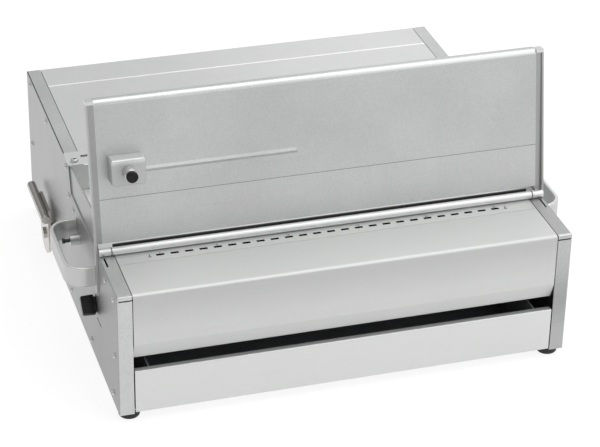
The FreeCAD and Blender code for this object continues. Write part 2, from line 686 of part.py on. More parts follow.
upper_profile = [
    (0, s.backrest_joint), (0, s.backrest_top), (s.backrest_return, s.backrest_top),
    (s.backrest_return, s.backrest_top - s.sheet), (s.sheet, s.backrest_top - s.sheet),
    (s.sheet, s.backrest_joint),
]
upper = outlined("YZ_Plane", upper_profile, -panel_half, panel_half * 2)
eased(upper, s.backrest_fold, lambda edge: flat(edge, "y", 0) and flat(edge, "z", s.backrest_top))
eased(upper, s.backrest_fold - s.sheet,
      lambda edge: flat(edge, "y", s.sheet) and flat(edge, "z", s.backrest_top - s.sheet))
slot_low = s.slot_level - s.slot_height / 2
slot_left = guide_x - s.slot_lead
guide_slot = box((slot_left, slot_left + s.slot_length), (-s.sheet, s.sheet * 2),
                 (slot_low, slot_low + s.slot_height))
node("backrest_panel", leaning(cut(upper, guide_slot), 0, 0, 0))

bar_top = s.backrest_top - s.cap_height


def strap(tail):
    """The flat strap outside an end bar; a tail, where it has one, hangs down beside the case."""
    foot_y = lean_y - s.strap_lead
    head_y_front = -s.strap_lead / 3
    profile = [
        (foot_y, low_top), on_lean(head_y_front, bar_top), on_lean(head_y_front + s.strap_width, bar_top),
        (foot_y + s.strap_width, low_top),
    ]
    slanting = outlined("YZ_Plane", profile, half, s.strap_thickness)
    if tail is None:
        return slanting
    upright = box((half, half + s.strap_thickness), (foot_y, foot_y + s.strap_width), (tail, low_top))
    return fuse(slanting, upright)


def end_bracket(tail=None):
    """The bar at the right end of the backrest, with its strap."""
    bar = lean_box((half - s.end_bar_width, half), (term(0), s.end_bar_depth), (s.backrest_low, bar_top))
    return fuse(bar, strap(tail))


node("backrest_end_left", mirrored(end_bracket(under + s.strap_low)))
node("backrest_end_right", end_bracket())


def end_cap():
    """The cap on top of an end bar and its strap."""
    reach = (half - s.end_bar_width, half + s.strap_thickness)
    return lean_box(reach, (-s.strap_lead / 3, s.end_bar_depth), (bar_top, s.backrest_top))


right_cap = end_cap()
node("backrest_caps", group(right_cap, mirrored(end_cap())))


def gusset():
    """The plate inside the right side panel that carries the backrest from the rear box."""
    head_front, head_z = on_lean(s.end_bar_depth + s.fit * 2, s.gusset_top)
    foot_front, foot_z = on_lean(s.end_bar_depth + s.fit * 2, s.backrest_low)
    profile = [
        (foot_front, low_top - s.gusset_overlap), (foot_front, foot_z), (head_front, head_z),
        (rail_y - s.fit, tall_top - s.bend), (rail_y - s.fit, low_top - s.gusset_overlap),
    ]
    return outlined("YZ_Plane", profile, web - s.sheet, s.sheet)


node("gusset_right", gusset())
node("gusset_left", mirrored(gusset()))


# ---------------------------------------------------------------- edge guide on the backrest

guide_back = -s.fit
guide_front = -s.fit - s.guide_thick
guide_span = (guide_x - s.guide_width / 2, guide_x + s.guide_width / 2)
block = lean_box(guide_span, (guide_front, guide_back), (s.guide_low, s.guide_low + s.guide_tall))
guide_level = s.guide_low + s.guide_tall / 2
block_hole = lean_rod(guide_x, s.sheet, guide_level, s.guide_thick * 2, s.stud_radius + s.shaft_play)
block = rounded(block, s.guide_edge, lambda edge: True)
node("guide_block", cut(block, block_hole))

clamp_back = s.sheet + s.fit + s.clamp_thick
clamp_span = (guide_x - s.clamp_width / 2, guide_x + s.clamp_width / 2)
clamp_low = s.slot_level - s.clamp_width / 2
clamp = lean_box(clamp_span, (s.sheet + s.fit, clamp_back), (clamp_low, clamp_low + s.clamp_width))
neck_half = s.slot_height / 2 - s.fit
neck_span = (guide_x - neck_half, guide_x + neck_half)
neck = lean_box(neck_span, (guide_back + s.fit, clamp_back),
                (s.slot_level - neck_half, s.slot_level + neck_half))
node("guide_clamp", fuse(clamp, neck))

knob_body = lean_rod(guide_x, guide_front - s.fit, guide_level, s.knob_length, s.knob_radius)
stud = lean_rod(guide_x, guide_back - s.fit, guide_level, s.guide_thick + s.sheet, s.stud_radius)
node("guide_knob", fuse(knob_body, stud))
knob_face = guide_front - s.fit - s.knob_length
knob_cap = lean_rod(guide_x, knob_face, guide_level, s.cap_length, s.cap_radius)
cap_middle = on_lean(knob_face - s.cap_length / 2, guide_level)[0].number
node("guide_knob_cap", rounded(knob_cap, s.edge, lambda edge: edge.YMax < cap_middle))


# ---------------------------------------------------------------- carrying handles

def carry_handle():
    """The bent band of the right carrying handle."""
    low_y = front + s.handle_front
    high_y = low_y + s.handle_length
    reach = half + s.handle_reach
    band = s.handle_thick
    profile = [
        (half, low_y), (reach, low_y), (reach, high_y), (half, high_y), (half, high_y - band),
        (reach - band, high_y - band), (reach - band, low_y + band), (half, low_y + band),
    ]
    body = outlined("XY_Plane", profile, under + s.handle_low, s.handle_tall)
    eased(body, s.handle_corner,
          lambda edge: flat(edge, "x", reach) and near(edge.YMin, edge.YMax))
    eased(body, s.handle_corner - band,
          lambda edge: flat(edge, "x", reach - band) and near(edge.YMin, edge.YMax))
    low_z = under + s.handle_low
    eased(body, s.handle_edge,
          lambda edge: (flat(edge, "z", low_z) or flat(edge, "z", low_z + s.handle_tall))
          and not flat(edge, "x", half))
    return body


node("carry_handle_right", carry_handle())
node("carry_handle_left", mirrored(carry_handle()))


# ---------------------------------------------------------------- base, deck, rail and covers

base_front = front + s.base_front
base_rear = rear - s.sheet * 2 - s.fit
node("base_plate", slab(web - s.fit, (base_front, base_rear), (under + s.sheet, base_top)))


def foot(side, y):
    """One rubber foot."""
    x = (half - s.foot_inset_x) * side
    return rounded(rod("z", x, y, 0, s.foot_height, s.foot_radius), s.foot_round,
                   lambda edge: near(edge.ZMax, 0))


foot_rows = (front + s.foot_inset_y, rear - s.foot_inset_y)
node("feet", group(*[foot(side, y) for side in (-1, 1) for y in foot_rows]))

deck_rear = rail_y - s.fit
node("middle_deck", slab(web - s.sheet - s.fit, (deck_y + s.play, deck_rear), (low_top - s.sheet, low_top)))

cover_span = half - s.flange - s.cover_gap
rail_half = web - s.play
rail_back = rail_y + s.rail_depth
rail_front = slab(rail_half, (rail_y, rail_y + s.sheet), (low_top - s.sheet, tall_top))
rail_top = slab(rail_half, (rail_y, rail_back), (tall_top - s.sheet, tall_top))
rail_rear = slab(rail_half, (rail_back - s.sheet, rail_back), (under + s.rail_rear_low, tall_top))


def rail_tab():
    """The tab that laps the rail over the right side panel."""
    high = tall_top + s.rail_tab_thick
    return box((cover_span, half), (rail_y, front + s.rail_tab_end), (tall_top, high))


rail = fuse(rail_front, rail_top, rail_rear, rail_tab(), mirrored(rail_tab()))
node("cross_rail", rounded(rail, s.edge, lambda edge: flat(edge, "y", rail_y) and flat(edge, "z", tall_top)))
tab_top = tall_top + s.rail_tab_thick
rail_screw = rod("z", half - s.flange / 2, front + s.rail_screw_from_front, tab_top,
                 s.rail_screw_height, s.rail_screw_radius)
rail_screw = rounded(rail_screw, s.edge, lambda edge: flat(edge, "z", tab_top + s.rail_screw_height))
node("rail_screws", group(rail_screw, mirrored(rail_screw)))

cover_y = front + s.cover_front
seam_y = rear - s.cover_seam
cover_rear = rear - s.cover_edge
lip_low = tall_top - s.cover_lip
top_sheet = slab(cover_span, (cover_y, cover_rear), (tall_top - s.sheet, tall_top))
cover_front_lip = slab(cover_span, (cover_y, cover_y + s.sheet), (lip_low, tall_top))
pressed_line = slab(cover_span, (seam_y, seam_y + s.line_width), (tall_top - s.fit, tall_top + s.fit))
node("rear_cover", cut(fuse(top_sheet, cover_front_lip), pressed_line))

panel_out = rear - s.rear_inset
panel_in = panel_out - s.sheet
fitting_z = under + s.fitting_level


def at_rear(x, width, tall, y):
    """A block centred on the rear fittings' level."""
    return box((x - width / 2, x + width / 2), y, (fitting_z - tall / 2, fitting_z + tall / 2))


VENT_COUNT = 8
panel = slab(web - s.fit, (panel_in, panel_out), (base_top, tall_top - s.sheet))
through = (panel_in - s.fit, panel_out + s.fit)
gap = s.fit * 2
holes = [
    at_rear(s.inlet_x, s.inlet_width + gap, s.inlet_tall + gap, through),
    at_rear(s.switch_x, s.switch_width + gap, s.switch_tall + gap, through),
    rod("y", s.socket_x, panel_in - s.fit, fitting_z, s.sheet + gap, s.socket_radius - s.sheet + s.fit),
]
for index in range(VENT_COUNT):
    vent_x = s.vent_left + s.vent_pitch * index
    vent_z = under + s.vent_low
    holes.append(box((vent_x, vent_x + s.vent_width), through, (vent_z, vent_z + s.vent_tall)))
node("rear_panel", cut(panel, *holes))


# ---------------------------------------------------------------- screws of the side panels

# From the front face and above the case's underside
FRONT_SCREWS = (
    (16, 59), (15, 122), (51, 122), (25, 11), (124, 10), (223, 10), (197, 119), (216, 125), (228, 152),
)
# From the rear edge and above the case's underside
REAR_SCREWS = ((114, 10), (16, 11), (106, 152), (16, 152), (16, 80))
screw_places = [(front + inset, level) for inset, level in FRONT_SCREWS]
screw_places += [(rear - inset, level) for inset, level in REAR_SCREWS]
heads = []
for screw_y, level in screw_places:
    head = rod("x", half, screw_y, under + level, s.screw_height, s.screw_radius)
    heads.append(head)
    heads.append(mirrored(head))
node("panel_screws", group(*heads))


# ---------------------------------------------------------------- punch frame

cheek_outer = cheek_inner + s.cheek_thick
tongue_front = ram_y + s.tongue_inset
tongue_rear = tongue_front + s.tongue_depth
tongue_low = pin_z - s.tongue_tall / 2
slide_play = s.fit / 2


def cheek():
    """The right cheek of the punch frame, with the ram's slide way and the shaft's bearing seat."""
    plate = box((cheek_inner, cheek_outer), (front + s.cheek_front, front + s.cheek_rear),
                (base_top, low_top - s.sheet))
    way = box((cheek_inner - s.fit, cheek_outer + s.fit),
              (tongue_front - s.stroke - s.fit, tongue_rear + s.fit),
              (tongue_low - slide_play, tongue_low + s.tongue_tall + slide_play))
    seat = rod("x", cheek_inner - s.fit, shaft_y, pin_z, s.cheek_thick + s.fit * 2, s.bearing_radius)
    return cut(plate, way, seat)


def cheek_hole(y, z, radius):
    """A round hole through the left cheek."""
    return rod("x", -cheek_outer - s.fit, y, z, s.cheek_thick + s.fit * 2, radius)


node("cheek_left", cut(
    mirrored(cheek()),
    cheek_hole(dial_y, dial_z, s.dial_shaft_radius + s.shaft_play),
    cheek_hole(plunger_y, plunger_z, s.plunger_radius + s.shaft_play),
))
node("cheek_right", cut(cheek(), die_window((cheek_inner - s.fit, cheek_outer + s.fit))))


def ring(x, y, z, length, radius, bore):
    """A ring along X."""
    hole = rod("x", x - s.fit, y, z, length + s.fit * 2, bore)
    return cut(rod("x", x, y, z, length, radius), hole)


bearing = ring(cheek_inner, shaft_y, pin_z, s.cheek_thick, s.bearing_radius, s.shaft_radius + s.shaft_play)
node("bearings", group(bearing, mirrored(bearing)))

bed_y = throat_y + s.sheet
bed_top = die_bottom - s.die_seat
node("die_bed", slab(cheek_inner - s.play, (bed_y - s.bed_depth, bed_y), (bed_top - s.bed_thick, bed_top)))


def bracket():
    """The right bracket that holds a return spring to its cheek."""
    level = under + s.spring_level
    far = ram_y + s.ram_depth + s.post_depth / 2 + s.spring_length
    bracket_end = cheek_inner - s.play
    return box((bracket_end - s.bracket_length, bracket_end), (far, far + s.bracket_depth),
               (level - s.bracket_tall / 2, level + s.bracket_tall / 2))


node("spring_brackets", group(bracket(), mirrored(bracket())))


# ---------------------------------------------------------------- die set

die_front = throat_y - s.die_front_thick
guide_rear = throat_rear + s.die_guide_thick
pin_count = int(((die_half * 2 - s.hole_margin - s.hole_end) / s.hole_pitch).number) + 1
pin_xs = [s.hole_margin - die_half + s.hole_pitch * index for index in range(pin_count)]


def pin_block(x, y, width, tall):
    """A block round one pin's axis."""
    return box((x - width / 2, x + width / 2), y, (pin_z - tall / 2, pin_z + tall / 2))


def die_plate(y, play):
    """A die plate with a slot for each pin."""
    through = (y[0] - s.fit, y[1] + s.fit)
    slots = [pin_block(x, through, s.pin_width + play * 2, s.pin_thick + play * 2) for x in pin_xs]
    return cut(slab(die_half, y, (die_bottom, die_top)), *slots)


node("die_front_plate", die_plate((die_front, throat_y), s.die_play))
spacer = slab(die_half, (throat_y, throat_rear), (die_bottom, die_bottom + s.spacer_tall))
node("die_guide_plate", fuse(die_plate((throat_rear, guide_rear), s.pin_play), spacer))

pull_x = half + s.fit
cover_x = pull_x + s.pull_cover_thick
pull_front = die_front + s.pull_cover_thick
pull_low = under + s.pull_low
arm = box((die_half, pull_x), (pull_front, pull_front + s.pull_depth), (pull_low, pull_low + s.pull_tall))
cover_start = front + s.cheek_front
window_cover = box((pull_x, cover_x), (cover_start, cover_start + s.pull_cover_depth),
                   (under + s.pull_cover_low, under + s.pull_cover_low + s.pull_cover_tall))
window_cover = rounded(window_cover, s.edge, lambda edge: flat(edge, "x", cover_x))
tab_y = cover_start + (s.pull_cover_depth - s.pull_tab_depth) / 2
tab_x = cover_x + s.pull_tab
tab = box((cover_x, tab_x), (tab_y, tab_y + s.pull_tab_depth), (pin_z - s.pull_tab_thick, pin_z))
tab = rounded(tab, s.edge, lambda edge: flat(edge, "x", tab_x))
node("die_pull", fuse(arm, window_cover, tab))

head_end = head_y + s.head_thick
pins = []
for x in pin_xs:
    shank = pin_block(x, (tip_y, head_y), s.pin_width, s.pin_thick)
    head = pin_block(x, (head_y, head_end), s.pin_width, s.head_tall)
    pins.append(fuse(shank, head))
node("punch_pins", group(*pins))

stop_top = pin_z - s.stop_below
stop_low = stop_top - s.stop_tall
stop_front = throat_y + s.die_seat
link_rear = front + s.stop_link_rear
link_top = under + s.stop_link_top
foot_low = dial_z + s.cam_low + s.play
link_x = -die_half - s.fit * 2
foot_x = link_x - s.stop_link_thick
stop_bar = box((-die_half - s.stop_overhang, die_half - s.stop_end_gap), (stop_front, throat_rear - s.die_seat),
               (stop_low, stop_top))
stop_link = box((foot_x, link_x), (stop_front, link_rear), (stop_low, link_top))
stop_foot = box((foot_x - s.stop_foot_width, foot_x),
                (dial_y - s.stop_foot_depth / 2, dial_y + s.stop_foot_depth / 2),
                (foot_low, link_top))
node("margin_stop", fuse(stop_bar, stop_link, stop_foot))


# ---------------------------------------------------------------- ram and drive shaft

ram_rear = ram_y + s.ram_depth
ram_low = pin_z - s.ram_tall / 2
ram_top = pin_z + s.ram_tall / 2
ram_half = cheek_inner - s.ram_end_gap
ram_block = slab(ram_half, (ram_y, ram_rear), (ram_low, ram_top))
mouth = (pin_z - s.slot_mouth / 2, pin_z + s.slot_mouth / 2)
cavity = (pin_z - s.slot_cavity / 2, pin_z + s.slot_cavity / 2)
slot_mouth = slab(ram_half + s.fit, (ram_y - s.fit, head_end), mouth)
slot_cavity = slab(ram_half + s.fit, (head_y - s.fit, head_end + s.fit), cavity)
tongues = slab(cheek_inner + s.tongue_length, (tongue_front, tongue_rear),
               (tongue_low, tongue_low + s.tongue_tall))
post_y = ram_rear - s.post_depth / 2
spring_x = cheek_inner - s.spring_inset


def pusher():
    """The arm that the right eccentric presses."""
    return box((s.pusher_x - s.pusher_width / 2, s.pusher_x + s.pusher_width / 2),
               (ram_rear, ram_rear + s.pusher_length),
               (pin_z - s.pusher_tall / 2, pin_z + s.pusher_tall / 2))


def post():
    """The post for the right return spring."""
    return box((spring_x - s.post_width / 2, spring_x + s.post_width / 2),
               (post_y, post_y + s.post_depth), (ram_top, ram_top + s.post_tall))


bar = fuse(ram_block, tongues, pusher(), mirrored(pusher()), post(), mirrored(post()))
node("ram", cut(bar, slot_mouth, slot_cavity))

spring_y = post_y + s.post_depth
spring = rod("y", spring_x, spring_y, under + s.spring_level, s.spring_length, s.spring_radius)
hollow = rod("y", spring_x, spring_y - s.fit, under + s.spring_level, s.spring_length + s.fit * 2,
             s.spring_radius - s.spring_wire * 2)
coil = cut(spring, hollow)
node("return_springs", group(coil, mirrored(coil)))

shaft_half = half - s.shaft_inset
node("drive_shaft", rod("x", -shaft_half, shaft_y, pin_z, shaft_half * 2, s.shaft_radius))
throw = s.stroke / 2


def eccentric(x):
    """A round cam set off centre on the drive shaft."""
    disc = rod("x", x - s.eccentric_width / 2, shaft_y + throw, pin_z, s.eccentric_width, s.eccentric_radius)
    bore = rod("x", x - s.eccentric_width, shaft_y, pin_z, s.eccentric_width * 2, s.shaft_radius)
    return cut(disc, bore)


node("eccentrics", group(eccentric(s.pusher_x), eccentric(-s.pusher_x)))


# ---------------------------------------------------------------- gearbox, flywheel, belt and motor

gear_y = front + s.gearbox_front
gear_top = under + s.gearbox_top
housing = box((s.gearbox_left, s.gearbox_right), (gear_y, gear_y + s.gearbox_depth), (base_top, gear_top))
housing = rounded(housing, s.gearbox_edge,
                  lambda edge: near(edge.ZMin, base_top) and near(edge.ZMax, gear_top))
shaft_hole = rod("x", s.gearbox_left - s.fit, shaft_y, pin_z, s.gearbox_right - s.gearbox_left + s.fit * 2,
                 s.shaft_radius + s.shaft_play)
input_y = front + s.input_from_front
input_z = under + s.input_level
axle_x = s.gearbox_right - s.axle_depth
axle_bore = s.axle_radius + s.shaft_play
axle_hole = rod("x", axle_x - s.fit, input_y, input_z, s.axle_depth + s.fit * 2, axle_bore)
node("gearbox", cut(housing, shaft_hole, axle_hole))

wheel_end = s.flywheel_x + s.flywheel_width
rim = rod("x", s.flywheel_x, input_y, input_z, s.flywheel_width, s.flywheel_radius)


def dish(x):
    """The ring-shaped recess in a face of the flywheel."""
    return ring(x, input_y, input_z, s.rim_depth, s.flywheel_radius - s.rim_width, s.hub_radius)


axle = rod("x", axle_x, input_y, input_z, s.axle_length, s.axle_radius)
wheel = cut(rim, dish(s.flywheel_x), dish(wheel_end - s.rim_depth))
node("flywheel", fuse(wheel, axle))

motor_y = rear - s.motor_from_rear
motor_z = under + s.motor_level
pulley = rod("x", s.flywheel_x, motor_y, motor_z, s.flywheel_width, s.pulley_radius)
shaft_length = s.motor_left - s.flywheel_x + s.axle_depth
motor_shaft = rod("x", s.flywheel_x, motor_y, motor_z, shaft_length, s.axle_radius)
node("motor_pulley", fuse(pulley, motor_shaft))

can = rounded(rod("x", s.motor_left, motor_y, motor_z, s.motor_length, s.motor_radius), s.gearbox_edge,
              lambda edge: flat(edge, "x", s.motor_left) or flat(edge, "x", s.motor_left + s.motor_length))
foot_start = s.motor_left + s.motor_foot_inset
foot_end = s.motor_left + s.motor_length - s.motor_foot_inset
foot_reach = s.motor_foot_depth / 2
motor_feet = box((foot_start, foot_end), (motor_y - foot_reach, motor_y + foot_reach),
                 (base_top, base_top + s.motor_foot_tall))
saddle = box((foot_start, foot_end), (motor_y - s.saddle_depth / 2, motor_y + s.saddle_depth / 2),
             (base_top, motor_z))
shaft_seat = rod("x", s.motor_left - s.fit, motor_y, motor_z, s.axle_depth + s.fit * 2, axle_bore)
node("motor", cut(fuse(can, motor_feet, saddle), shaft_seat))


def loop_face(near_radius, far_radius):
    """The outline of a belt round the flywheel and the pulley, as a face in the YZ plane."""
    start = FreeCAD.Vector(0, input_y.number, input_z.number)
    finish = FreeCAD.Vector(0, motor_y.number, motor_z.number)
    line = finish - start
    spread = math.acos((near_radius - far_radius) / line.Length)
    heading = math.atan2(line.z, line.y)

    def on(centre, radius, angle):
        return centre + FreeCAD.Vector(0, math.cos(angle), math.sin(angle)) * radius

    upper, lower = heading + spread, heading - spread
    edges = [
        Part.Arc(on(start, near_radius, upper), on(start, near_radius, heading + math.pi),
                 on(start, near_radius, lower)).toShape(),
        Part.LineSegment(on(start, near_radius, lower), on(finish, far_radius, lower)).toShape(),
        Part.Arc(on(finish, far_radius, lower), on(finish, far_radius, heading),
                 on(finish, far_radius, upper)).toShape(),
        Part.LineSegment(on(finish, far_radius, upper), on(start, near_radius, upper)).toShape(),
    ]
    return Part.Face(Part.Wire(edges))


def belt_shape():
    inside = s.fit.number
    outside = inside + s.belt_thick.number
    wheel_r, pulley_r = s.flywheel_radius.number, s.pulley_radius.number
    across = FreeCAD.Vector(s.belt_width.number, 0, 0)
    full = loop_face(wheel_r + outside, pulley_r + outside).extrude(across)
    return full.cut(loop_face(wheel_r + inside, pulley_r + inside).extrude(across))


belt = doc.addObject("Part::Feature", "Belt")
belt.Shape = belt_shape()
place(belt, s.flywheel_x + (s.flywheel_width - s.belt_width) / 2, 0, 0)
node("drive_belt", belt)

board_y = rear - s.board_from_rear
board_z = under + s.board_level
board_x = s.board_inset - half
board_top = board_z + s.board_thick
far_side = s.board_size - s.standoff_inset
board = box((board_x, board_x + s.board_size), (board_y, board_y + s.board_size), (board_z, board_top))
pieces = [board]
for side_x in (s.standoff_inset, far_side):
    for side_y in (s.standoff_inset, far_side):
        height = board_z - base_top
        pieces.append(rod("z", board_x + side_x, board_y + side_y, base_top, height, s.standoff_radius))
relay_y = board_y + s.relay_width
for step in (1, 3):
    relay_x = board_x + s.relay_width * step
    pieces.append(box((relay_x, relay_x + s.relay_width), (relay_y, relay_y + s.relay_width * 1.5),
                      (board_top, board_top + s.relay_tall)))
node("control_board", fuse(*pieces))


# ---------------------------------------------------------------- chip drawer

drawer_low = under + s.sheet + s.fit
drawer_high = under + s.drawer_top
drawer_profile = [
    (front, drawer_low), (front, drawer_high), (front + s.drawer_fold, drawer_high),
    (front + s.drawer_fold, drawer_high - s.sheet), (front + s.sheet, drawer_high - s.sheet),
    (front + s.sheet, drawer_low),
]
drawer = outlined("YZ_Plane", drawer_profile, -drawer_half, drawer_half * 2)
eased(drawer, s.bend, lambda edge: flat(edge, "y", front) and flat(edge, "z", drawer_high))
node("drawer_front", drawer)

tray_low = base_top + s.fit
tray_high = under + s.tray_top
tray_rear = front + s.sheet + s.tray_depth
tray_half = drawer_half - s.tray_end_gap
outer = slab(tray_half, (front + s.sheet, tray_rear), (tray_low, tray_high))
inside = slab(tray_half - s.sheet, (front + s.sheet * 2, tray_rear - s.sheet),
              (tray_low + s.sheet, tray_high + s.sheet))
node("chip_tray", cut(outer, inside))


# ---------------------------------------------------------------- margin dial

dial_end = -half - s.fit
dial_far = dial_end - s.dial_length
shaft_end = dial_end - s.dial_length / 4
dial = rod("x", dial_far, dial_y, dial_z, s.dial_length, s.dial_radius)
dial_bore = rod("x", shaft_end, dial_y, dial_z, s.dial_length, s.dial_shaft_radius)
node("margin_dial", cut(rounded(dial, s.edge, lambda edge: flat(edge, "x", dial_far)), dial_bore))
cam_end = foot_x - s.fit * 2
cam_start = cam_end - s.cam_width
dial_rod = rod("x", shaft_end, dial_y, dial_z, cam_end - shaft_end, s.dial_shaft_radius)


CAM_STEPS = 54


def cam_face():
    """A snail whose height under a flat foot grows evenly as it turns."""
    rise = s.cam_rise.number / math.radians(s.cam_turn.number)
    turn = math.radians(s.cam_turn.number)
    points = []
    for index in range(CAM_STEPS + 1):
        angle = turn * index / CAM_STEPS
        lift = s.cam_low.number + rise * angle
        direction = math.pi / 2 - angle
        y = lift * math.cos(direction) + rise * math.sin(direction)
        z = lift * math.sin(direction) - rise * math.cos(direction)
        points.append(FreeCAD.Vector(0, y, z))
    spiral = Part.BSplineCurve()
    spiral.interpolate(points)
    back = Part.LineSegment(points[-1], points[0])
    return Part.Face(Part.Wire([spiral.toShape(), back.toShape()]))


snail = doc.addObject("Part::Feature", "Snail")
snail.Shape = cam_face().extrude(FreeCAD.Vector(s.cam_width.number, 0, 0))
place(snail, cam_start, dial_y, dial_z)
node("dial_shaft", fuse(dial_rod, snail))


# ---------------------------------------------------------------- release lever and plunger

plate_x = -half - s.lever_bush
plate_out = plate_x - s.lever_plate_thick
bar_x = plate_out - s.lever_bar_radius + s.edge
lever_bar_z = lever_z + s.lever_arm
disc = rod("x", plate_out, lever_y, lever_z, s.lever_plate_thick, s.lever_plate_radius)
arm_plate = box((plate_out, plate_x), (lever_y - s.lever_plate_radius, lever_y + s.lever_plate_radius),
                (lever_z, lever_bar_z + s.lever_bar_radius))
lever_bar_y = front + s.lever_bar_front
lever_bar = rounded(
    rod("y", bar_x, lever_bar_y, lever_bar_z, s.lever_bar_length, s.lever_bar_radius), s.edge,
    lambda edge: flat(edge, "y", lever_bar_y) or flat(edge, "y", lever_bar_y + s.lever_bar_length))
stub_length = s.lever_plate_thick + s.lever_bush + s.pivot_reach
stub = rod("x", plate_out, lever_y, lever_z, stub_length, s.pivot_radius)
lever_screw = rod("x", plate_out - s.pivot_head, lever_y, lever_z, s.pivot_head, s.pivot_radius + s.edge)
node("lock_lever", fuse(disc, arm_plate, lever_bar, stub, lever_screw))
node("lever_bush", ring(plate_x + s.play, lever_y, lever_z, s.lever_bush - s.play, s.bush_radius,
                        s.pivot_radius + s.shaft_play))

barrel_x = -half - s.plunger_barrel
node("plunger_barrel", ring(barrel_x, plunger_y, plunger_z, s.plunger_barrel, s.barrel_radius,
                            s.plunger_radius + s.shaft_play))
knob_end = barrel_x - s.pull_knob_gap
knob_far = knob_end - s.pull_knob_length
knob = rounded(rod("x", knob_far, plunger_y, plunger_z, s.pull_knob_length, s.pull_knob_radius), s.edge,
               lambda edge: flat(edge, "x", knob_far) or flat(edge, "x", knob_end))
tip_x = s.plunger_pull - cheek_outer - s.play * 5
shank = rod("x", knob_far, plunger_y, plunger_z, tip_x - knob_far, s.plunger_radius)
node("latch_plunger", fuse(knob, shank))


# ---------------------------------------------------------------- rear fittings

body_y = (panel_out - s.inlet_depth, panel_out)
rim_y = (panel_out, rear)
inlet_body = at_rear(s.inlet_x, s.inlet_width, s.inlet_tall, body_y)
inlet_flange = at_rear(s.inlet_x, s.inlet_width + s.inlet_rim * 2, s.inlet_tall + s.fitting_rim * 2, rim_y)
recess = at_rear(s.inlet_x, s.recess_width, s.recess_tall, (rear - s.recess_depth, rear + s.fit))
contacts = [
    at_rear(s.inlet_x + s.contact_pitch * step, s.contact_size, s.contact_size * 2,
            (rear - s.recess_depth, rear - s.recess_depth + s.contact_length))
    for step in (-1, 0, 1)
]
node("power_inlet", fuse(cut(fuse(inlet_body, inlet_flange), recess), *contacts))

pivot_y = rear - s.rocker_back
switch_body = at_rear(s.switch_x, s.switch_width, s.switch_tall, (panel_out - s.switch_depth, panel_out))
rims = s.fitting_rim * 2
switch_rim = at_rear(s.switch_x, s.switch_width + rims, s.switch_tall + rims, rim_y)
hole_width = s.rocker_width + s.fit * 2
hole_radius = s.switch_radius + s.fit
switch_hole = at_rear(s.switch_x, hole_width, hole_radius * 2, (pivot_y, rear + s.fit))
switch_round = rod("x", s.switch_x - hole_width / 2, pivot_y, fitting_z, hole_width, hole_radius)
node("switch_housing", cut(fuse(switch_body, switch_rim), switch_hole, switch_round))

drum = rod("x", s.switch_x - s.rocker_width / 2, 0, 0, s.rocker_width, s.switch_radius)
keep = box((s.switch_x - s.rocker_width, s.switch_x + s.rocker_width),
           (-s.switch_radius, s.rocker_back - s.sheet), (-s.switch_radius, s.switch_radius))
node("rocker", turned(common(drum, keep), -1, s.rocker_tilt, 0, pivot_y, fitting_z))


socket_rim = rod("y", s.socket_x, panel_out, fitting_z, rear - panel_out, s.socket_radius)
socket_back = panel_out - s.fitting_depth
socket_barrel = rod("y", s.socket_x, socket_back, fitting_z, s.fitting_depth, s.socket_radius - s.sheet)
socket_hole = rod("y", s.socket_x, socket_back + s.sheet, fitting_z, s.fitting_depth + s.sheet,
                  s.socket_bore)
node("pedal_socket", cut(fuse(socket_rim, socket_barrel), socket_hole))


# ---------------------------------------------------------------- check and write

doc.recompute()
for item in doc.Objects:
    for state in item.State:
        if state in ("Invalid", "Error"):
            raise RuntimeError("%s (%s) failed" % (item.Label, item.Name))
for piece in NODES:
    if piece.Shape.isNull() or not piece.Shape.isValid():
        raise RuntimeError("%s has no valid shape" % piece.Label)

os.makedirs("parts", exist_ok=True)
for piece in NODES:
    piece.Shape.exportStep("parts/%s.step" % piece.Label)
    solids = piece.Shape.Solids
    print("%-22s %3d solid(s) %12.1f mm3" % (piece.Label, len(solids), sum(solid.Volume for solid in solids)))
print(len(NODES), "nodes")
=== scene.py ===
import math

import bmesh
import bpy
from mathutils import Matrix, Vector


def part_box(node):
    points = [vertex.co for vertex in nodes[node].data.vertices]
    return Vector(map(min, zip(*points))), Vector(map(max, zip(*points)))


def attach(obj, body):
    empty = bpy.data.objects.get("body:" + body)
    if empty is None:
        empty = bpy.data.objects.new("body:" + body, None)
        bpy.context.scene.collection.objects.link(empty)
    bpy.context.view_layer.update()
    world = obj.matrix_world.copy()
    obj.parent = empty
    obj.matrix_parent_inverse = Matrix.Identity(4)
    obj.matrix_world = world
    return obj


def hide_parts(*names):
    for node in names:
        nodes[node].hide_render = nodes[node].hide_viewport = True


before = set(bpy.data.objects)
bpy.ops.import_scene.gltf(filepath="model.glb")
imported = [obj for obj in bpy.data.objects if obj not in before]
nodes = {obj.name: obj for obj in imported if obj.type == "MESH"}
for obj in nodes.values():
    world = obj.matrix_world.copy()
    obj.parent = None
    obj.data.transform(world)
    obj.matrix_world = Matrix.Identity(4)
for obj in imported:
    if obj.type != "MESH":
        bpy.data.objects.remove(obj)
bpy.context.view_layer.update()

scene = bpy.context.scene


# ------------------------------------------------------------------ camera, light and table
# The punch stands on a plain white table in a white studio. A long lens looks down on it from the
# front left. Three broad soft lamps and the white room, brighter on its right, light it.

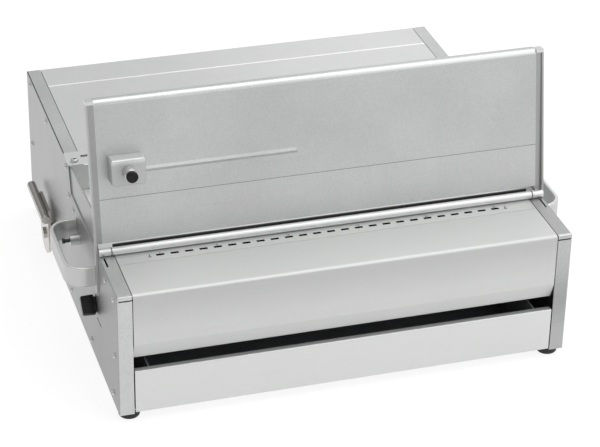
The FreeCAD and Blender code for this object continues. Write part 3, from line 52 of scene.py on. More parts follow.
turn = math.radians(-17.382)
rise = math.radians(29.836)
roll = math.radians(1.16)
AIM_MM = Vector((0, -18, 108))
DISTANCE_MM = 2314.129
ASIDE_MM = 9.832
LOWERED_MM = 28.342
away = Vector((math.sin(turn) * math.cos(rise), -math.cos(turn) * math.cos(rise), math.sin(rise)))
side = (-away).cross(Vector((0, 0, 1))).normalized()
over = side.cross(-away)
right = side * math.cos(roll) + over * math.sin(roll)
up = over * math.cos(roll) - side * math.sin(roll)
spot = (AIM_MM + away * DISTANCE_MM + right * ASIDE_MM - up * LOWERED_MM) / 1000
lens = bpy.data.cameras.new("studio_camera")
lens.sensor_fit = "HORIZONTAL"
lens.sensor_width = 36.0
lens.lens = 134.437
lens.clip_start = 0.05
lens.clip_end = 50
camera = bpy.data.objects.new("studio_camera", lens)
camera.matrix_world = Matrix((
    (right.x, up.x, away.x, spot.x),
    (right.y, up.y, away.y, spot.y),
    (right.z, up.z, away.z, spot.z),
    (0, 0, 0, 1),
))
scene.collection.objects.link(camera)
scene.camera = camera
scene.view_settings.view_transform = "Standard"


def softbox(name, place, aim, size, watts):
    """A broad soft lamp turned towards a place."""
    light = bpy.data.lights.new(name, "AREA")
    light.shape = "RECTANGLE"
    light.size, light.size_y = size
    light.energy = watts
    lamp = bpy.data.objects.new(name, light)
    heading = Vector(aim) - Vector(place)
    lamp.rotation_euler = heading.to_track_quat("-Z", "Y").to_euler()
    lamp.location = place
    scene.collection.objects.link(lamp)


softbox("softbox_over", place=(0.4, -0.1, 2.3), aim=(0, 0, 0.1), size=(3.0, 2.6), watts=32)
softbox("softbox_right", place=(1.3, -2.0, 1.2), aim=(0, 0, 0.15), size=(1.5, 1.5), watts=10)
softbox("softbox_rear", place=(0.95, 1.7, 1.15), aim=(0.1, 0.05, 0.15), size=(1.1, 0.9), watts=1.8)


def links(tree, *pairs):
    """Links each output to the input that is paired with it."""
    for start, end in pairs:
        tree.links.new(start, end)


def math_node(tree, operation, *values):
    """A Math node; a value is either a number or an output to link."""
    node = tree.nodes.new("ShaderNodeMath")
    node.operation = operation
    for socket, value in zip(node.inputs, values):
        if isinstance(value, (int, float)):
            socket.default_value = value
        else:
            tree.links.new(value, socket)
    return node.outputs[0]


def shown_to(tree, first_ray, second_ray, plain, shown, output_kind):
    """Surfaces a tree with a plain shader, and with another one for two kinds of ray."""
    path = tree.nodes.new("ShaderNodeLightPath")
    either = math_node(tree, "MAXIMUM", path.outputs[first_ray], path.outputs[second_ray])
    pick = tree.nodes.new("ShaderNodeMixShader")
    out = tree.nodes.new(output_kind)
    links(tree, (either, pick.inputs[0]), (plain.outputs[0], pick.inputs[1]),
          (shown.outputs[0], pick.inputs[2]), (pick.outputs[0], out.inputs["Surface"]))


ROOM_STRENGTH = 0.62
ROOM_MIDDLE = 0.96
ROOM_GAIN_RIGHT = 0.30
world = bpy.data.worlds.new("white_room")
scene.world = world
world.use_nodes = True
tree = world.node_tree
tree.nodes.clear()
room = tree.nodes.new("ShaderNodeBackground")
room.inputs["Strength"].default_value = ROOM_STRENGTH
backdrop = tree.nodes.new("ShaderNodeBackground")
backdrop.inputs["Color"].default_value = (1, 1, 1, 1)
backdrop.inputs["Strength"].default_value = 1.0
compass = tree.nodes.new("ShaderNodeTexCoord")
heading = tree.nodes.new("ShaderNodeSeparateXYZ")
floor_to_ceiling = tree.nodes.new("ShaderNodeValToRGB")
floor_to_ceiling.color_ramp.elements[0].position = 0.0
floor_to_ceiling.color_ramp.elements[0].color = (0.62, 0.63, 0.65, 1)
floor_to_ceiling.color_ramp.elements[1].position = 0.75
floor_to_ceiling.color_ramp.elements[1].color = (1, 1, 1, 1)
left_to_right = math_node(tree, "MULTIPLY_ADD", heading.outputs["X"], ROOM_GAIN_RIGHT, ROOM_MIDDLE)
walls = tree.nodes.new("ShaderNodeVectorMath")
walls.operation = "SCALE"
links(tree,
      (compass.outputs["Generated"], heading.inputs[0]), (heading.outputs["Z"], floor_to_ceiling.inputs[0]),
      (floor_to_ceiling.outputs["Color"], walls.inputs[0]), (left_to_right, walls.inputs["Scale"]),
      (walls.outputs[0], room.inputs["Color"]))
shown_to(tree, "Is Camera Ray", "Is Transmission Ray", room, backdrop, "ShaderNodeOutputWorld")

TABLE_HALF = 6.0
TABLE_GLOW = 0.86
table_mesh = bpy.data.meshes.new("table_top")
table_mesh.from_pydata([(x * TABLE_HALF, y * TABLE_HALF, 0) for x, y in ((-1, -1), (1, -1), (1, 1), (-1, 1))],
                       [], [(0, 1, 2, 3)])
table_top = bpy.data.objects.new("table_top", table_mesh)
scene.collection.objects.link(table_top)
table_white = bpy.data.materials.new("white_table")
table_white.use_nodes = True
tree = table_white.node_tree
tree.nodes.clear()
bounce = tree.nodes.new("ShaderNodeBsdfDiffuse")
bounce.inputs["Color"].default_value = (0.80, 0.80, 0.80, 1)
shadow_catch = tree.nodes.new("ShaderNodeBsdfDiffuse")
shadow_catch.inputs["Color"].default_value = (0.20, 0.20, 0.20, 1)
glow = tree.nodes.new("ShaderNodeEmission")
glow.inputs["Strength"].default_value = TABLE_GLOW
bright_table = tree.nodes.new("ShaderNodeAddShader")
links(tree, (shadow_catch.outputs[0], bright_table.inputs[0]), (glow.outputs[0], bright_table.inputs[1]))
shown_to(tree, "Is Camera Ray", "Is Glossy Ray", bounce, bright_table, "ShaderNodeOutputMaterial")
table_mesh.materials.append(table_white)


# ------------------------------------------------------------------ side panels, base plate and rear panel
# Folded zinc-coated sheet steel, 1.5 mm thick. The panels carry the whole machine, and the base
# plate, rear panel and gussets are screwed between them. Rolling leaves a faint grain along them.

def new_group(name, inputs, outputs):
    """A shader group with named inputs and outputs."""
    group = bpy.data.node_groups.new(name, "ShaderNodeTree")
    for label, kind, value in inputs:
        socket = group.interface.new_socket(label, in_out="INPUT", socket_type=kind)
        socket.default_value = value
    for label, kind in outputs:
        group.interface.new_socket(label, in_out="OUTPUT", socket_type=kind)
    return group, group.nodes.new("NodeGroupInput"), group.nodes.new("NodeGroupOutput")


def metal_grain():
    """Rolled or brushed metal: streaks along one axis, cloudy patches, fine speckle and handling marks."""
    group, given, result = new_group("metal_grain", (
        ("Colour", "NodeSocketColor", (0.6, 0.6, 0.6, 1)),
        ("Grain", "NodeSocketVector", (900, 900, 30)),
        ("Streak", "NodeSocketFloat", 0.06),
        ("Patch Size", "NodeSocketFloat", 14.0),
        ("Patch", "NodeSocketFloat", 0.08),
        ("Speckle", "NodeSocketFloat", 0.05),
        ("Roughness", "NodeSocketFloat", 0.38),
        ("Smudge", "NodeSocketFloat", 0.08),
    ), (("Colour", "NodeSocketColor"), ("Roughness", "NodeSocketFloat"), ("Height", "NodeSocketFloat")))
    place = group.nodes.new("ShaderNodeTexCoord")
    stretch = group.nodes.new("ShaderNodeVectorMath")
    stretch.operation = "MULTIPLY"
    links(group, (place.outputs["Object"], stretch.inputs[0]), (given.outputs["Grain"], stretch.inputs[1]))

    def noise(scale, detail, rough, vector):
        texture = group.nodes.new("ShaderNodeTexNoise")
        texture.inputs["Detail"].default_value = detail
        texture.inputs["Roughness"].default_value = rough
        if isinstance(scale, (int, float)):
            texture.inputs["Scale"].default_value = scale
        else:
            group.links.new(scale, texture.inputs["Scale"])
        group.links.new(vector, texture.inputs["Vector"])
        return texture.outputs["Fac"]

    patch_size = given.outputs["Patch Size"]
    streaks = noise(scale=1.0, detail=3.0, rough=0.5, vector=stretch.outputs[0])
    clouds = noise(scale=patch_size, detail=5.0, rough=0.6, vector=place.outputs["Object"])
    specks = noise(scale=520.0, detail=2.0, rough=0.5, vector=place.outputs["Object"])
    hands = noise(scale=9.0, detail=6.0, rough=0.72, vector=place.outputs["Object"])
    parts = []
    for texture, amount in ((streaks, "Streak"), (clouds, "Patch"), (specks, "Speckle")):
        centred = math_node(group, "SUBTRACT", texture, 0.5)
        parts.append(math_node(group, "MULTIPLY", centred, given.outputs[amount]))
    total = math_node(group, "ADD", math_node(group, "ADD", parts[0], parts[1]), parts[2])
    bright = math_node(group, "MULTIPLY_ADD", total, 2.0, 1.0)
    tint = group.nodes.new("ShaderNodeVectorMath")
    tint.operation = "SCALE"
    links(group, (given.outputs["Colour"], tint.inputs[0]), (bright, tint.inputs["Scale"]),
          (tint.outputs[0], result.inputs["Colour"]))
    touched = math_node(group, "MULTIPLY", math_node(group, "SUBTRACT", hands, 0.5), given.outputs["Smudge"])
    rough = math_node(group, "MULTIPLY_ADD", total, 0.6, given.outputs["Roughness"])
    links(group, (math_node(group, "ADD", rough, touched), result.inputs["Roughness"]),
          (streaks, result.inputs["Height"]))
    return group


grain_group = metal_grain()
RELIEF_DEPTH = 0.0002


def metal(name, colour, grain, streak=0.06, patch=0.08, patch_size=14.0, speckle=0.05, rough=0.38,
          smudge=0.08, metallic=0.85, bump=0.03, coat=0.0):
    """A metal whose grain runs along the axis that its Grain vector stretches least."""
    material = bpy.data.materials.new(name)
    material.use_nodes = True
    tree = material.node_tree
    shader = tree.nodes["Principled BSDF"]
    shader.inputs["Metallic"].default_value = metallic
    shader.inputs["Coat Weight"].default_value = coat
    group = tree.nodes.new("ShaderNodeGroup")
    group.node_tree = grain_group
    group.inputs["Colour"].default_value = (*colour, 1)
    for label, value in (("Grain", grain), ("Streak", streak), ("Patch", patch), ("Patch Size", patch_size),
                         ("Speckle", speckle), ("Roughness", rough), ("Smudge", smudge)):
        group.inputs[label].default_value = value
    finish(tree, group, shader, bump)
    return material


def finish(tree, group, shader, bump):
    """Feeds a skin group's colour, roughness and relief to a shader."""
    relief = tree.nodes.new("ShaderNodeBump")
    relief.inputs["Strength"].default_value = bump
    relief.inputs["Distance"].default_value = RELIEF_DEPTH
    links(tree, (group.outputs["Colour"], shader.inputs["Base Color"]),
          (group.outputs["Roughness"], shader.inputs["Roughness"]),
          (group.outputs["Height"], relief.inputs["Height"]), (relief.outputs[0], shader.inputs["Normal"]))


def dress(material, *names):
    """Gives CAD pieces their finish."""
    for name in names:
        mesh = nodes[name].data
        mesh.materials.clear()
        mesh.materials.append(material)


def bright_zone(material, gain, *spans, fade=None):
    """Lightens a metal within spans along the axes, or darkens it when the gain is under one. A fade
    brings the change in smoothly along an axis, from its first level to its second."""
    tree = material.node_tree
    shader = tree.nodes["Principled BSDF"]
    place = tree.nodes.new("ShaderNodeTexCoord")
    axes = tree.nodes.new("ShaderNodeSeparateXYZ")
    links(tree, (place.outputs["Object"], axes.inputs[0]))
    inside = 1.0
    for axis, low, high in spans:
        for side_of, limit in (("GREATER_THAN", low), ("LESS_THAN", high)):
            within = math_node(tree, side_of, axes.outputs[axis], limit)
            inside = math_node(tree, "MULTIPLY", inside, within)
    if fade:
        axis, start, end = fade
        ramp = tree.nodes.new("ShaderNodeMapRange")
        ramp.inputs["From Min"].default_value = start
        ramp.inputs["From Max"].default_value = end
        links(tree, (axes.outputs[axis], ramp.inputs["Value"]))
        inside = math_node(tree, "MULTIPLY", inside, ramp.outputs["Result"])
    scaled = tree.nodes.new("ShaderNodeVectorMath")
    scaled.operation = "SCALE"
    plain = shader.inputs["Base Color"].links[0].from_socket
    change = math_node(tree, "MULTIPLY_ADD", inside, gain - 1, 1.0)
    links(tree, (plain, scaled.inputs[0]), (change, scaled.inputs["Scale"]),
          (scaled.outputs[0], shader.inputs["Base Color"]))


# The grain runs along the axis with the smallest stretch.
UPRIGHT = (900, 900, 22)
SIDEWAYS = (16, 900, 900)
LENGTHWAYS = (900, 16, 900)
ZINC_SHEET = dict(streak=0.05, patch=0.16, patch_size=11.0, speckle=0.12, rough=0.42, metallic=0.8)

# Where painted light and shade lie on the sheet, in metres: the faces turned to the front, and the folded
# edge round the rear top.
front_faces = ("Y", -0.30, -0.2172)
rear_top = ("Z", 0.1655, 0.170)

# The right post's front carries painted reflection: lighter at its top, darker in its middle and lighter
# again at its foot, with a painted highlight along the fold at its top. The right panel's rear top fold is
# lightened as painted light.
panel_metal = metal("side_panel_zinc_steel", (0.46, 0.467, 0.461), UPRIGHT, **ZINC_SHEET)
bright_zone(panel_metal, 1.28, ("X", 0.20, 0.2269), ("Y", 0.0, 0.30), rear_top)
bright_zone(panel_metal, 1.13, front_faces, fade=("Z", 0.085, 0.125))
bright_zone(panel_metal, 0.80, front_faces, fade=("Z", 0.100, 0.070))
bright_zone(panel_metal, 1.22, front_faces, fade=("Z", 0.062, 0.030))
bright_zone(panel_metal, 1.7, ("X", 0.2140, 0.2272), ("Y", -0.2172, -0.2148), ("Z", 0.1365, 0.1405))
dress(panel_metal, "side_panel_right", "gusset_left", "gusset_right", "die_pull")

# The left panel is a darker copy of the side panel sheet, painted shade for the side turned away from the
# lamps. Its flanges are lightened as painted light, a painted shadow line runs along the outer edge of its
# rear top fold, and its side is lighter towards the rear and darker towards the front as painted reflection.
left_metal = metal("left_panel_zinc_steel", (0.40, 0.406, 0.401), UPRIGHT, **ZINC_SHEET)
left_side = ("X", -0.30, -0.2279)
left_rear = ("Y", -0.02, 0.30)
bright_zone(left_metal, 1.5, ("X", -0.2274, -0.20), ("Y", -0.30, -0.14))
bright_zone(left_metal, 1.5, ("X", -0.2269, -0.20), left_rear)
bright_zone(left_metal, 0.30, ("X", -0.22785, -0.2269), left_rear, rear_top)
bright_zone(left_metal, 1.15, left_side, fade=("Y", -0.07, 0.02))
bright_zone(left_metal, 0.92, left_side, fade=("Y", -0.08, -0.13))
dress(left_metal, "side_panel_left")
plate_metal = metal("base_and_rear_zinc_steel", (0.48, 0.487, 0.482), SIDEWAYS, **ZINC_SHEET)
dress(plate_metal, "base_plate", "rear_panel")


# ------------------------------------------------------------------ feet
# Four turned rubber feet, rounded at their lower edge, stand under the corners of the base. Each is
# held by a screw through a steel washer in its underside.

SHARP = math.radians(32)


def skinned(bm, loops, material):
    """Closes a stack of equal loops of points into a body with flat ends."""
    faces = [bm.faces.new(loops[0][::-1]), bm.faces.new(loops[-1])]
    for low, high in zip(loops, loops[1:]):
        for step in range(len(low)):
            after = (step + 1) % len(low)
            faces.append(bm.faces.new((low[step], low[after], high[after], high[step])))
    for face in faces:
        face.material_index = material


def turned(bm, rings, steps=48, hexagons=(), material=0, place=Matrix()):
    """A turned body from (radius, height) rings along +Z. The rings named in hexagons are six-sided."""
    half_side = math.pi / 6
    loops = []
    for number, (radius, height) in enumerate(rings):
        loop = []
        for step in range(steps):
            angle = 2 * math.pi * step / steps
            reach = radius
            if number in hexagons:
                from_middle = (angle + half_side) % (2 * half_side) - half_side
                reach = radius * math.cos(half_side) / math.cos(from_middle)
            spot = Vector((reach * math.cos(angle), reach * math.sin(angle), height))
            loop.append(bm.verts.new(place @ spot))
        loops.append(loop)
    skinned(bm, loops, material)


def mesh_from(bm, name, materials):
    """A closed mesh with outward faces, smooth except at its sharp edges."""
    bmesh.ops.recalc_face_normals(bm, faces=bm.faces)
    mesh = bpy.data.meshes.new(name)
    bm.to_mesh(mesh)
    bm.free()
    for material in materials:
        mesh.materials.append(material)
    smooth(mesh)
    return mesh


def smooth(mesh):
    """Shades a mesh smooth, apart from the edges that turn more than SHARP."""
    mesh.polygons.foreach_set("use_smooth", [True] * len(mesh.polygons))
    mesh.set_sharp_from_angle(angle=SHARP)


def piece(name, mesh, body, *stands_for):
    """A modelled piece that rides on a body of the machine, in place of CAD pieces if any are named."""
    thing = bpy.data.objects.new(name, mesh)
    scene.collection.objects.link(thing)
    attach(thing, body)
    if stands_for:
        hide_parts(*stands_for)
    return thing


def moulded_skin():
    """Moulded plastic or rubber: a fine even grain and dull patches."""
    group, given, result = new_group("moulded_skin", (
        ("Colour", "NodeSocketColor", (0.03, 0.03, 0.03, 1)),
        ("Grain Size", "NodeSocketFloat", 1400.0),
        ("Patch", "NodeSocketFloat", 0.25),
        ("Roughness", "NodeSocketFloat", 0.5),
    ), (("Colour", "NodeSocketColor"), ("Roughness", "NodeSocketFloat"), ("Height", "NodeSocketFloat")))
    place = group.nodes.new("ShaderNodeTexCoord")
    fine = group.nodes.new("ShaderNodeTexNoise")
    fine.inputs["Detail"].default_value = 2.0
    dull = group.nodes.new("ShaderNodeTexNoise")
    dull.inputs["Scale"].default_value = 60.0
    dull.inputs["Detail"].default_value = 4.0
    links(group,
          (place.outputs["Object"], fine.inputs["Vector"]), (place.outputs["Object"], dull.inputs["Vector"]),
          (given.outputs["Grain Size"], fine.inputs["Scale"]), (fine.outputs["Fac"], result.inputs["Height"]))
    centred = math_node(group, "SUBTRACT", dull.outputs["Fac"], 0.5)
    spread = math_node(group, "MULTIPLY", centred, given.outputs["Patch"])
    tint = group.nodes.new("ShaderNodeVectorMath")
    tint.operation = "SCALE"
    links(group, (given.outputs["Colour"], tint.inputs[0]),
          (math_node(group, "MULTIPLY_ADD", spread, 2.0, 1.0), tint.inputs["Scale"]),
          (tint.outputs[0], result.inputs["Colour"]),
          (math_node(group, "ADD", spread, given.outputs["Roughness"]), result.inputs["Roughness"]))
    return group


skin_group = moulded_skin()


def moulded(name, colour, rough=0.5, grain=1400.0, bump=0.12, patch=0.25):
    """A moulded plastic or rubber, a paint, an enamel or an ink."""
    material = bpy.data.materials.new(name)
    material.use_nodes = True
    tree = material.node_tree
    shader = tree.nodes["Principled BSDF"]
    group = tree.nodes.new("ShaderNodeGroup")
    group.node_tree = skin_group
    group.inputs["Colour"].default_value = (*colour, 1)
    group.inputs["Grain Size"].default_value = grain
    group.inputs["Patch"].default_value = patch
    group.inputs["Roughness"].default_value = rough
    finish(tree, group, shader, bump)
    return material


rubber = moulded("foot_rubber", (0.018, 0.018, 0.019), rough=0.62, grain=900.0, bump=0.3)
zinc = metal("screw_zinc_plate", (0.62, 0.625, 0.62), (300, 300, 300), streak=0.1, patch=0.1, patch_size=60.0,
             rough=0.38, metallic=0.95)
FOOT_X, FOOT_Y = 0.216, 0.205
foot_rings = ((0.0052, 0.0030), (0.0054, 0.0012), (0.0062, 0.0), (0.0084, 0.0), (0.0096, 0.0004),
              (0.0103, 0.0013), (0.0105, 0.0024), (0.0105, 0.0064), (0.0101, 0.0072), (0.0097, 0.0075),
              (0.0097, 0.00795))
foot_screw_rings = ((0.0012, 0.0022), (0.0014, 0.0008), (0.0028, 0.0008), (0.0034, 0.0012),
                    (0.0036, 0.0020), (0.0048, 0.0021), (0.0048, 0.0029))
bm = bmesh.new()
for x in (-FOOT_X, FOOT_X):
    for y in (-FOOT_Y, FOOT_Y):
        foot_place = Matrix.Translation((x, y, 0))
        turned(bm, foot_rings, place=foot_place)
        turned(bm, foot_screw_rings, hexagons=(0, 1), material=1, place=foot_place)
piece("rubber_feet", mesh_from(bm, "rubber_feet", (rubber, zinc)), "case", "feet")


# ------------------------------------------------------------------ side panel screws
# Zinc-plated button-head screws with a hexagon socket hold the panels to the frame inside. All are
# the same screw, driven home at different turns.

def new_tree(name, inputs):
    """A Geometry Nodes tree with a geometry in and out and named inputs."""
    tree = bpy.data.node_groups.new(name, "GeometryNodeTree")
    tree.interface.new_socket("Geometry", in_out="INPUT", socket_type="NodeSocketGeometry")
    for label, kind, value in inputs:
        socket = tree.interface.new_socket(label, in_out="INPUT", socket_type=kind)
        if value is not None:
            socket.default_value = value
    tree.interface.new_socket("Geometry", in_out="OUTPUT", socket_type="NodeSocketGeometry")
    return tree, tree.nodes.new("NodeGroupInput"), tree.nodes.new("NodeGroupOutput")


def grown(name, mesh, tree, **values):
    """The plain mesh that a tree makes from a mesh."""
    thing = bpy.data.objects.new(name, mesh)
    scene.collection.objects.link(thing)
    modifier = thing.modifiers.new(tree.name, "NODES")
    modifier.node_group = tree
    for item in tree.interface.items_tree:
        if item.in_out == "INPUT" and item.name in values:
            modifier[item.identifier] = values[item.name]
    graph = bpy.context.evaluated_depsgraph_get()
    result = bpy.data.meshes.new_from_object(thing.evaluated_get(graph), depsgraph=graph)
    result.name = name
    thing.modifiers.clear()
    bpy.data.objects.remove(thing)
    smooth(result)
    return result


def scattered_heads():
    """A template head on every point, turned to the point's own direction and spun at random."""
    tree, given, result = new_tree("scattered_heads", (
        ("Head", "NodeSocketObject", None),
        ("Seed", "NodeSocketInt", 7),
        ("Finish", "NodeSocketMaterial", None),
    ))
    head = tree.nodes.new("GeometryNodeObjectInfo")
    outward = tree.nodes.new("GeometryNodeInputNamedAttribute")
    outward.data_type = "FLOAT_VECTOR"
    outward.inputs["Name"].default_value = "outward"
    align = tree.nodes.new("FunctionNodeAlignRotationToVector")
    align.axis = "Z"
    chance = tree.nodes.new("FunctionNodeRandomValue")
    hexagon_turn = math.pi / 3
    chance.inputs[3].default_value = hexagon_turn
    around = tree.nodes.new("FunctionNodeAxisAngleToRotation")
    spin = tree.nodes.new("FunctionNodeRotateRotation")
    spin.rotation_space = "LOCAL"
    copies = tree.nodes.new("GeometryNodeInstanceOnPoints")
    plain = tree.nodes.new("GeometryNodeRealizeInstances")
    paint = tree.nodes.new("GeometryNodeSetMaterial")
    links(tree,
          (given.outputs["Head"], head.inputs["Object"]),
          (outward.outputs["Attribute"], align.inputs["Vector"]),
          (given.outputs["Seed"], chance.inputs["Seed"]), (chance.outputs[1], around.inputs["Angle"]),
          (align.outputs[0], spin.inputs[0]), (around.outputs[0], spin.inputs[1]),
          (given.outputs["Geometry"], copies.inputs["Points"]),
          (head.outputs["Geometry"], copies.inputs["Instance"]),
          (spin.outputs[0], copies.inputs["Rotation"]), (copies.outputs[0], plain.inputs[0]),
          (plain.outputs[0], paint.inputs["Geometry"]), (given.outputs["Finish"], paint.inputs["Material"]),
          (paint.outputs[0], result.inputs[0]))
    return tree


heads_tree = scattered_heads()


def head_rings(radius, height, socket):
    """A button head with a hexagon socket; the first and second rings are the socket's floor and rim."""
    return ((socket, height * 0.35), (socket, height * 0.93), (socket * 1.25, height),
            (radius * 0.62, height), (radius * 0.80, height * 0.90), (radius * 0.93, height * 0.66),
            (radius, height * 0.30), (radius, 0.0))


def screws(name, places, radius, height, socket, seed):
    """Screw heads at (place, outward direction) pairs."""
    bm = bmesh.new()
    turned(bm, head_rings(radius, height, socket), hexagons=(0, 1), steps=36)
    template = bpy.data.objects.new(name + "_head", mesh_from(bm, name + "_head", ()))
    scene.collection.objects.link(template)
    points = bpy.data.meshes.new(name + "_places")
    points.from_pydata([place for place, outward in places], [], [])
    directions = points.attributes.new("outward", "FLOAT_VECTOR", "POINT")
    directions.data.foreach_set("vector", [number for place, outward in places for number in outward])
    mesh = grown(name, points, heads_tree, Head=template, Seed=seed, Finish=zinc)
    bpy.data.objects.remove(template)
    return mesh


PANEL_X = 0.228
PANEL_END_Y = 0.218
UNDERSIDE = 0.008
# Each screw's distance in millimetres from the panel's front or rear edge, and from its underside.
FROM_FRONT = ((16, 59), (15, 122), (51, 122), (25, 11), (124, 10), (223, 10), (197, 119), (216, 125),
              (228, 152))
FROM_REAR = ((114, 10), (16, 11), (106, 152), (16, 152), (16, 80))
screw_places = [(-PANEL_END_Y + inset / 1000, UNDERSIDE + level / 1000) for inset, level in FROM_FRONT]
screw_places += [(PANEL_END_Y - inset / 1000, UNDERSIDE + level / 1000) for inset, level in FROM_REAR]
heads = [((hand * PANEL_X, y, z), (hand, 0, 0)) for y, z in screw_places for hand in (-1, 1)]
side_screws = screws("side_screws", heads, radius=0.003, height=0.0016, socket=0.0013, seed=7)
piece("side_screws", side_screws, "case", "panel_screws")


# ------------------------------------------------------------------ front cover, scale strip and drawer front
# Satin stainless sheet, folded at the front's top edge. It is brushed along the machine's length.
# The strip behind the seam carries a printed dash over every hole that the machine can punch.

SATIN = dict(patch=0.05, patch_size=5.0, speckle=0.03, smudge=0.10)
cover_metal = metal("cover_stainless", (0.68, 0.688, 0.679), SIDEWAYS, streak=0.03, rough=0.58,
                    metallic=0.66, **SATIN)
# Painted shade: the cover's front face darkens towards its fold.
towards_fold = ("Z", 0.098, 0.131)
bright_zone(cover_metal, 0.85, front_faces, fade=towards_fold)
dress(cover_metal, "front_cover")
# The drawer front is a lighter copy of the cover's sheet, painted light for the bright table that it
# reflects.
drawer_metal = metal("drawer_stainless", (0.73, 0.738, 0.729), SIDEWAYS, streak=0.025, rough=0.50,
                     metallic=0.7, **SATIN)
dress(drawer_metal, "drawer_front")
strip_metal = metal("scale_strip_stainless", (0.71, 0.718, 0.71), SIDEWAYS, streak=0.05, patch=0.06,
                    patch_size=6.0, rough=0.44, metallic=0.8)
dress(strip_metal, "scale_strip")
ink_and_slot_shade = moulded("black_ink_and_slot_shade", (0.010, 0.010, 0.011), rough=0.8, grain=2500.0, bump=0.02)
ink_and_slot_shade.node_tree.nodes["Principled BSDF"].inputs["Specular IOR Level"].default_value = 0.0


def row_of_marks():
    """A row of equal printed blocks."""
    tree, given, result = new_tree("row_of_marks", (
        ("Count", "NodeSocketInt", 25),
        ("Start", "NodeSocketVector", (0, 0, 0)),
        ("Step", "NodeSocketVector", (0.01, 0, 0)),
        ("Size", "NodeSocketVector", (0.008, 0.0016, 0.0001)),
        ("Ink", "NodeSocketMaterial", None),
    ))
    row = tree.nodes.new("GeometryNodeMeshLine")
    block = tree.nodes.new("GeometryNodeMeshCube")
    copies = tree.nodes.new("GeometryNodeInstanceOnPoints")
    plain = tree.nodes.new("GeometryNodeRealizeInstances")
    both = tree.nodes.new("GeometryNodeJoinGeometry")
    paint = tree.nodes.new("GeometryNodeSetMaterial")
    links(tree,
          (given.outputs["Count"], row.inputs["Count"]),
          (given.outputs["Start"], row.inputs["Start Location"]),
          (given.outputs["Step"], row.inputs["Offset"]), (given.outputs["Size"], block.inputs["Size"]),
          (row.outputs["Mesh"], copies.inputs["Points"]), (block.outputs["Mesh"], copies.inputs["Instance"]),
          (given.outputs["Geometry"], both.inputs[0]), (copies.outputs[0], both.inputs[0]),
          (both.outputs[0], plain.inputs[0]), (plain.outputs[0], paint.inputs["Geometry"]),
          (given.outputs["Ink"], paint.inputs["Material"]), (paint.outputs[0], result.inputs[0]))
    return tree


marks_tree = row_of_marks()


def block_between(bm, low, high, material=0, place=Matrix()):
    """A block between its low and its high corner."""
    corners = [bm.verts.new(place @ Vector((x, y, z)))
               for x in (low[0], high[0]) for y in (low[1], high[1]) for z in (low[2], high[2])]
    for quad in ((0, 1, 3, 2), (4, 6, 7, 5), (0, 4, 5, 1), (2, 3, 7, 6), (0, 2, 6, 4), (1, 5, 7, 3)):
        bm.faces.new([corners[index] for index in quad]).material_index = material


def figures(bm, text, place, size, depth):
    """Raised printed figures, centred on a place; they read along the place's own X axis."""
    curve = bpy.data.curves.new("figures", "FONT")
    curve.body = text
    curve.size = size
    curve.align_x = "CENTER"
    curve.align_y = "CENTER"
    curve.extrude = depth / 2
    curve.resolution_u = 3
    thing = bpy.data.objects.new("figures", curve)
    scene.collection.objects.link(thing)
    graph = bpy.context.evaluated_depsgraph_get()
    mesh = bpy.data.meshes.new_from_object(thing.evaluated_get(graph), depsgraph=graph)
    mesh.transform(place)
    bpy.data.objects.remove(thing)
    bm.from_mesh(mesh)
    bmesh.ops.remove_doubles(bm, verts=bm.verts, dist=1e-7)


PITCH = 0.0142875
HOLES = 25
FIRST_HOLE = -0.1701
STRIP_TOP = 0.14
PRINT = 0.00006
DASH = (0.0080, 0.0031, 2 * PRINT)
DASHES_Y = -0.1505
FIGURES_Y = -0.1470
FIGURE_SIZE = 0.0036
# The end marks stand beyond the row: each is a stem with a short bar across its front end.
END_MARK_GAP = 0.0105
STEM_HALF, CROSS_HALF = 0.0004, 0.0018
MARK_FRONT, CROSS_REAR, STEM_REAR = -0.1530, -0.1523, -0.1480
bm = bmesh.new()
for hole in (1, 5, 10, 15, 20, HOLES):
    hole_x = FIRST_HOLE + PITCH * (hole - 1)
    number_place = Matrix.Translation((hole_x, FIGURES_Y, STRIP_TOP + PRINT / 2))
    figures(bm, str(hole), number_place, FIGURE_SIZE, PRINT)
half_row = PITCH * (HOLES // 2)
for hand in (-1, 1):
    x = FIRST_HOLE + half_row + hand * (half_row + END_MARK_GAP)
    for half_width, rear in ((STEM_HALF, STEM_REAR), (CROSS_HALF, CROSS_REAR)):
        block_between(bm, (x - half_width, MARK_FRONT, STRIP_TOP), (x + half_width, rear, STRIP_TOP + PRINT))
numbers = mesh_from(bm, "scale_numbers", ())
scale_marks = grown("scale_marks", numbers, marks_tree, Count=HOLES, Size=DASH, Step=(PITCH, 0, 0),
                    Start=(FIRST_HOLE, DASHES_Y, STRIP_TOP + PRINT / 3), Ink=ink_and_slot_shade)
piece("scale_marks", scale_marks, "case")


# ------------------------------------------------------------------ deck, cross rail and rear cover
# The same stainless sheet closes the machine's top. The cross rail ties the panels together at the
# front of the motor box, and one socket screw goes through the tab at each of its ends.

# The deck is a lighter, duller copy of the stainless sheet, painted light that makes up for the backrest's
# shadow on it.
deck_metal = metal("deck_stainless", (0.84, 0.847, 0.84), SIDEWAYS, streak=0.05, patch=0.07, patch_size=7.0,
                   rough=0.5, metallic=0.45)
dress(deck_metal, "middle_deck")
rear_metal = metal("rear_cover_stainless", (0.72, 0.727, 0.72), SIDEWAYS, streak=0.045, patch=0.06,
                   patch_size=6.0, speckle=0.05, rough=0.44, metallic=0.78)
# A painted highlight lightens the pressed line along the rear cover's top.
pressed_line = ("Y", 0.1750, 0.1775)
bright_zone(rear_metal, 1.45, pressed_line, ("Z", 0.160, 0.170))
dress(rear_metal, "rear_cover", "cross_rail")
TAB_X, TAB_Y, TAB_TOP = 0.2207, 0.0019, 0.1692
tab_tops = [((hand * TAB_X, TAB_Y, TAB_TOP), (0, 0, 1)) for hand in (-1, 1)]
rail_screws = screws("rail_socket_screws", tab_tops, radius=0.004, height=0.003, socket=0.0019, seed=3)
piece("rail_socket_screws", rail_screws, "case", "rail_screws")
